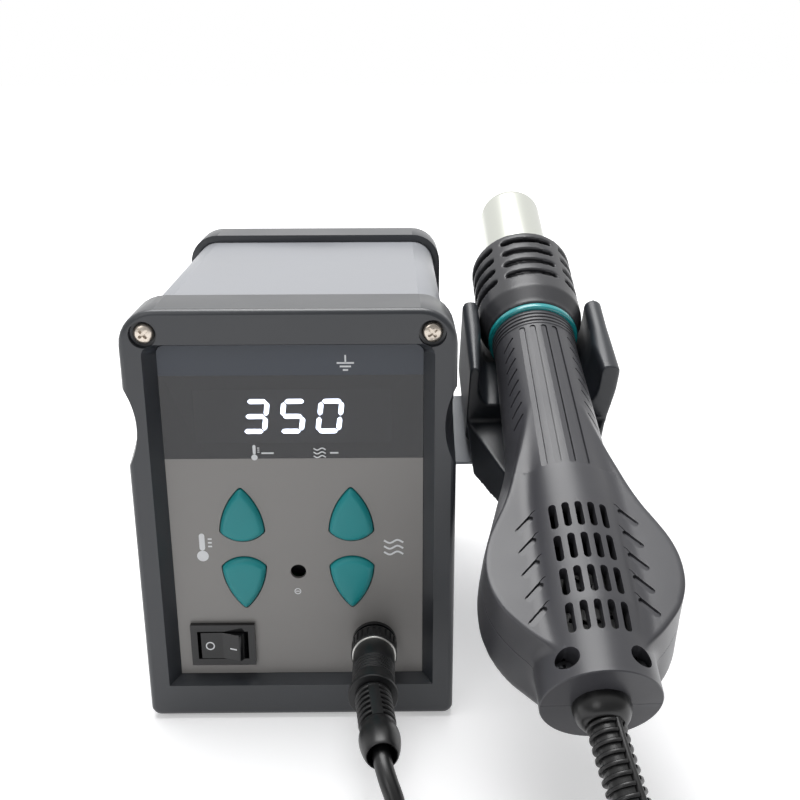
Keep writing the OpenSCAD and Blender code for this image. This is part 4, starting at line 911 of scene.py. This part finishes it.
# %% Copies at points
def copies_group():
    """Points in, copies of a part out, as one real mesh with its finish."""
    group = bpy.data.node_groups.new("copies_at_points", "GeometryNodeTree")
    face = group.interface
    face.new_socket("Points", in_out="INPUT", socket_type="NodeSocketGeometry")
    for label, kind in (("Part", "Object"), ("Finish", "Material"), ("Scale", "Float")):
        face.new_socket(label, in_out="INPUT", socket_type="NodeSocket" + kind)
    face.new_socket("Copies", in_out="OUTPUT", socket_type="NodeSocketGeometry")
    made = {kind: group.nodes.new(kind) for kind in (
        "NodeGroupInput", "NodeGroupOutput", "GeometryNodeObjectInfo",
        "GeometryNodeInputNamedAttribute", "GeometryNodeInstanceOnPoints",
        "GeometryNodeRealizeInstances", "GeometryNodeSetMaterial")}
    start, end, info, turn, stand, real, dress = made.values()
    turn.data_type = "FLOAT_VECTOR"
    turn.inputs["Name"].default_value = "turn"
    for out_socket, in_socket in (
            (start.outputs["Points"], stand.inputs["Points"]),
            (start.outputs["Part"], info.inputs["Object"]),
            (info.outputs["Geometry"], stand.inputs["Instance"]),
            (turn.outputs["Attribute"], stand.inputs["Rotation"]),
            (start.outputs["Scale"], stand.inputs["Scale"]),
            (stand.outputs["Instances"], real.inputs["Geometry"]),
            (real.outputs["Geometry"], dress.inputs["Geometry"]),
            (start.outputs["Finish"], dress.inputs["Material"]),
            (dress.outputs["Geometry"], end.inputs["Copies"])):
        group.links.new(out_socket, in_socket)
    return group


copies_at_points = copies_group()


def copies(name, part, places, slot, scale=1.0):
    """One mesh with a copy of a part at each place, a list of matrices; the part is used up."""
    obj = mesh_piece(name, [place.translation for place in places], [])
    turn = obj.data.attributes.new("turn", "FLOAT_VECTOR", "POINT")
    for item, place in zip(turn.data, places):
        item.vector = place.to_euler()
    nodes = obj.modifiers.new("copies", "NODES")
    nodes.node_group = copies_at_points
    sockets = {item.name: item.identifier for item in copies_at_points.interface.items_tree
               if item.in_out == "INPUT"}
    nodes[sockets["Part"]] = part
    nodes[sockets["Finish"]] = finishes[slot]
    nodes[sockets["Scale"]] = scale
    applied(obj)
    bpy.data.objects.remove(part)
    return obj


def merge(name, *pieces):
    """Several meshes as one piece."""
    bm = bmesh.new()
    for piece in pieces:
        bm.from_mesh(piece.data)
    mesh = bpy.data.meshes.new(name)
    bm.to_mesh(mesh)
    bm.free()
    for piece in pieces:
        bpy.data.objects.remove(piece)
    return link(name, mesh)


def lathe(name, profile, sides=48):
    """Turn a profile of radius and height about the Z axis."""
    return rings_piece(name, [[Vector((x, y, z)) * mm for x, y in circle(r, sides)]
                              for r, z in profile])


def swept(name, angles, section):
    """A section of radius and height, swept about the Z axis through some angles."""
    return rings_piece(name, [[Vector((r * math.cos(a), r * math.sin(a), z)) * mm
                               for r, z in section] for a in angles])


def along_handle(name, profile, sides, closed=False):
    """Turn a profile of radius and distance about the hand piece's own axis."""
    return rings_piece(name, [[to_bench @ Vector((x, t, z)) for x, z in circle(r, sides)]
                              for r, t in profile], closed)


# %% Screws
def cross_screw():
    """A domed screw with a cross recess, its head's foot at the origin."""
    screw = lathe("screw", [(1.5, -7.5), (1.5, 0), (3.0, 0), (3.1, 0.35), (3.05, 0.9),
                            (2.75, 1.35), (2.2, 1.65), (1.2, 1.84), (0.3, 1.9)])
    blades = [prism(slot_outline(3.5, 0.95), 0.5, 3, IN_MM @ Matrix.Rotation(turn, 4, "Z"))
              for turn in (0.7, 0.7 + math.pi / 2)]
    return carved(screw, joined("screw_cross", blades))


SCREW_X, SCREW_Y, SCREW_Z = 0.0425, 0.0674, 0.1323
screw_places = [Matrix.Translation((sx * SCREW_X, sy * SCREW_Y, SCREW_Z))
                @ Matrix.Rotation(sy * -math.pi / 2, 4, "X")
                for sx in (-1, 1) for sy in (-1, 1)]
screws = copies("frame_screws", cross_screw(), screw_places, "screw_steel")
settle(screws, "base", "screw_steel", "front_screws", "rear_screws", angle=40)
print("screw faces:", len(screws.data.polygons))

# %% The relief boot
BEND_R, BEND_TURN, BOOT_TURN, BOOT_FROM = 110, math.radians(40), math.radians(4), -4


def boot_place(angle, spin=0):
    """A frame on the boot's bent axis: Z along it, X up out of the bend, spun about Z."""
    a = math.radians(angle)
    on_arc = (Matrix.Translation((0, -BEND_R * math.sin(a), -BEND_R * (1 - math.cos(a))))
              @ Matrix.Rotation(a, 4, "X") @ Matrix.Rotation(math.pi / 2, 4, "X"))
    return (to_bench @ Matrix.Translation((0, BOOT_FROM, 0)) @ Matrix.Rotation(BOOT_TURN, 4, "Z")
            @ Matrix.Rotation(-BEND_TURN, 4, "Y") @ on_arc
            @ Matrix.Rotation(math.radians(spin), 4, "Z"))


def boot_ring(angle, radius):
    """A ring of points round the boot's axis."""
    place = boot_place(angle)
    return [place @ Vector((x, y, 0)) for x, y in circle(radius, 28)]


core = rings_piece("relief_core", [boot_ring(a, 4.15) for a in np.linspace(0, 17.7, 36)]
                   + [boot_ring(17.9, 3.8), boot_ring(18, 3.3)])
dome_rows = [(5.2, 8), (5.2, 0.2), (7.8, 0.05), (7.85, -0.6), (7.8, -1.6), (7.5, -3), (7.0, -4.2),
             (6.3, -5.2), (5.6, -5.8), (5.1, -5.95), (4.95, -5.4), (4.8, -5.2), (1, -5.2)]
dome = along_handle("relief_dome", dome_rows, 48)
rib_profile = [(3.9, -0.64), (4.95, -0.56), (5.14, -0.42), (5.2, -0.2), (5.2, 0.2), (5.14, 0.42),
               (4.95, 0.56), (3.9, 0.64)]

# Half ribs on both sides of a spine, the two sides half a pitch apart. Angles are in degrees.
PITCH, SPINE_AT, RIB_FROM, SPINE_R = 1.42, 18, 1.3, 4.4
half_turn = np.radians(np.linspace(14, 180, 22))
pieces = [core, dome]
for side, start, count in ((1, RIB_FROM, 12), (-1, RIB_FROM + PITCH / 2, 11)):
    places = [boot_place(start + k * PITCH, SPINE_AT) for k in range(count)]
    places = [Matrix.LocRotScale(place.translation, place.to_quaternion(), None)
              for place in places]
    rib = swept("rib", half_turn * side, rib_profile)
    pieces.append(copies("ribs_%d" % side, rib, places, "black_rubber"))
spine_line = [boot_place(a, SPINE_AT) @ Vector((SPINE_R, 0, 0))
              for a in np.linspace(0.6, 17.6, 30)]
pieces.append(rings_piece("relief_spine", tube_rings(spine_line, 0.95 * mm, 10)))
relief = merge("relief_boot", *pieces)
settle(relief, "handle", "black_rubber", "tail_relief", angle=50)
print("relief faces:", len(relief.data.polygons))

# %% [markdown]
# ## Nozzle tube
# The steel tube is drawn with a rounded shoulder at its open end, so it is turned on a lathe
# here: one profile of radius and distance along the hand piece's axis.

# %% Nozzle tube
TUBE_AT, TUBE_END, MOUTH_R, SHOULDER_W, SHOULDER_L = 141, 230.3, 8.3, 3.7, 4.6
profile = [(10.8, TUBE_AT), (11.5, TUBE_AT + 0.3), (11.5, 188.2), (12, 188.25)]
profile += [(MOUTH_R + SHOULDER_W * math.cos(a), TUBE_END - SHOULDER_L + SHOULDER_L * math.sin(a))
            for a in np.linspace(0, 1.45, 12)]
profile += [(MOUTH_R, TUBE_END - 0.3), (MOUTH_R, TUBE_END - 0.8), (10.9, TUBE_END - 4.2),
            (11.1, 200), (10.8, 188)]
tube = along_handle("nozzle_tube", profile, 72, closed=True)
settle(tube, "handle", "tube_steel", "heater_tube", angle=50)
print("tube faces:", len(tube.data.polygons))

# %% [markdown]
# ## Plug
# The plug's boot is slotted so that it can bend: part rings between two spines, and a bell
# at the end that the cord comes out of. The coupling ring has a bare metal edge.

# %% The plug's boot
BOOT_AT, COUPLING_AT = Vector((24.2, -96.2, 26.2)), Vector((0.0242, -0.0742, 0.0262))
plug_place = Matrix.Translation(BOOT_AT * mm) @ Matrix.Rotation(math.radians(6), 4, "Z") @ upright
core = lathe("boot_core", [
    (0.4, -0.9), (5.0, -0.9), (5.0, 0.02), (5.35, 0.2), (5.55, 0.6), (5.6, 1.2), (5.55, 1.75),
    (5.3, 2.0), (3.9, 2.05), (3.9, 15.5), (5.2, 15.56), (5.4, 15.7), (5.42, 16.2), (5.4, 16.8),
    (5.55, 17.8), (5.85, 19), (6.02, 20.4), (6.0, 22), (5.8, 23.8), (5.45, 25.6), (5.05, 27),
    (4.75, 27.7), (4.5, 27.95), (4.25, 27.9), (4.15, 27.5), (4.05, 21.05), (0.4, 21)], 56)
core.data.transform(plug_place)
rib_section = [(3.7, -0.6), (5.2, -0.58), (5.45, -0.45), (5.58, -0.2), (5.58, 0.2), (5.45, 0.45),
               (5.2, 0.58), (3.7, 0.6)]
spine_section = [(3.7, 1.5), (5.56, 1.5), (5.56, 16), (3.7, 16)]
RIB_HALF, SPINE_HALF, FIRST_RIB, RIB_PITCH = 1.28, 0.3, 3.875, 2.45
places = [plug_place @ Matrix.Translation((0, 0, (FIRST_RIB + RIB_PITCH * i) * mm))
          for i in range(5)]
pieces = [core]
for k, at in enumerate((0, math.pi)):
    rib = swept("rib", np.linspace(at - RIB_HALF, at + RIB_HALF, 20), rib_section)
    pieces.append(copies("boot_ribs_%d" % k, rib, places, "black_rubber"))
for k, at in enumerate((math.pi / 2, -math.pi / 2)):
    spine = swept("boot_spine_%d" % k, np.linspace(at - SPINE_HALF, at + SPINE_HALF, 8),
                  spine_section)
    spine.data.transform(plug_place)
    pieces.append(spine)
plug_boot = merge("plug_boot_slotted", *pieces)
settle(plug_boot, body_of["plug_boot"], slot_of["plug_boot"], "plug_boot", angle=50)
edge = lathe("coupling_edge", [(6.5, 0.35), (7.05, 0.35), (7.12, 0.2), (7.05, 0.02), (6.8, -0.12),
                               (6.5, -0.1)], 72)
edge.data.transform(Matrix.Translation(COUPLING_AT) @ Matrix.Rotation(-math.pi / 2, 4, "X"))
settle(edge, body_of["coupling_ring"], "zinc", angle=40)
print("boot faces:", len(plug_boot.data.polygons))

# %% [markdown]
# ## The cord's finish
# The cord and its tie take black rubber, and the cord stands for the CAD's cord runs and coil.
# The tie rides with the unit.

# %% Finish the cord
settle(tie, "base", "black_rubber")
cord.data.materials.append(finishes["black_rubber"])
cord.data.shade_smooth()
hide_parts("cord_front_run", "cord_coil", "cord_back_run")
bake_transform(cord)
print("cord:", len(cord.data.polygons), "faces, from", [round(v, 3) for v in TIP * mm])
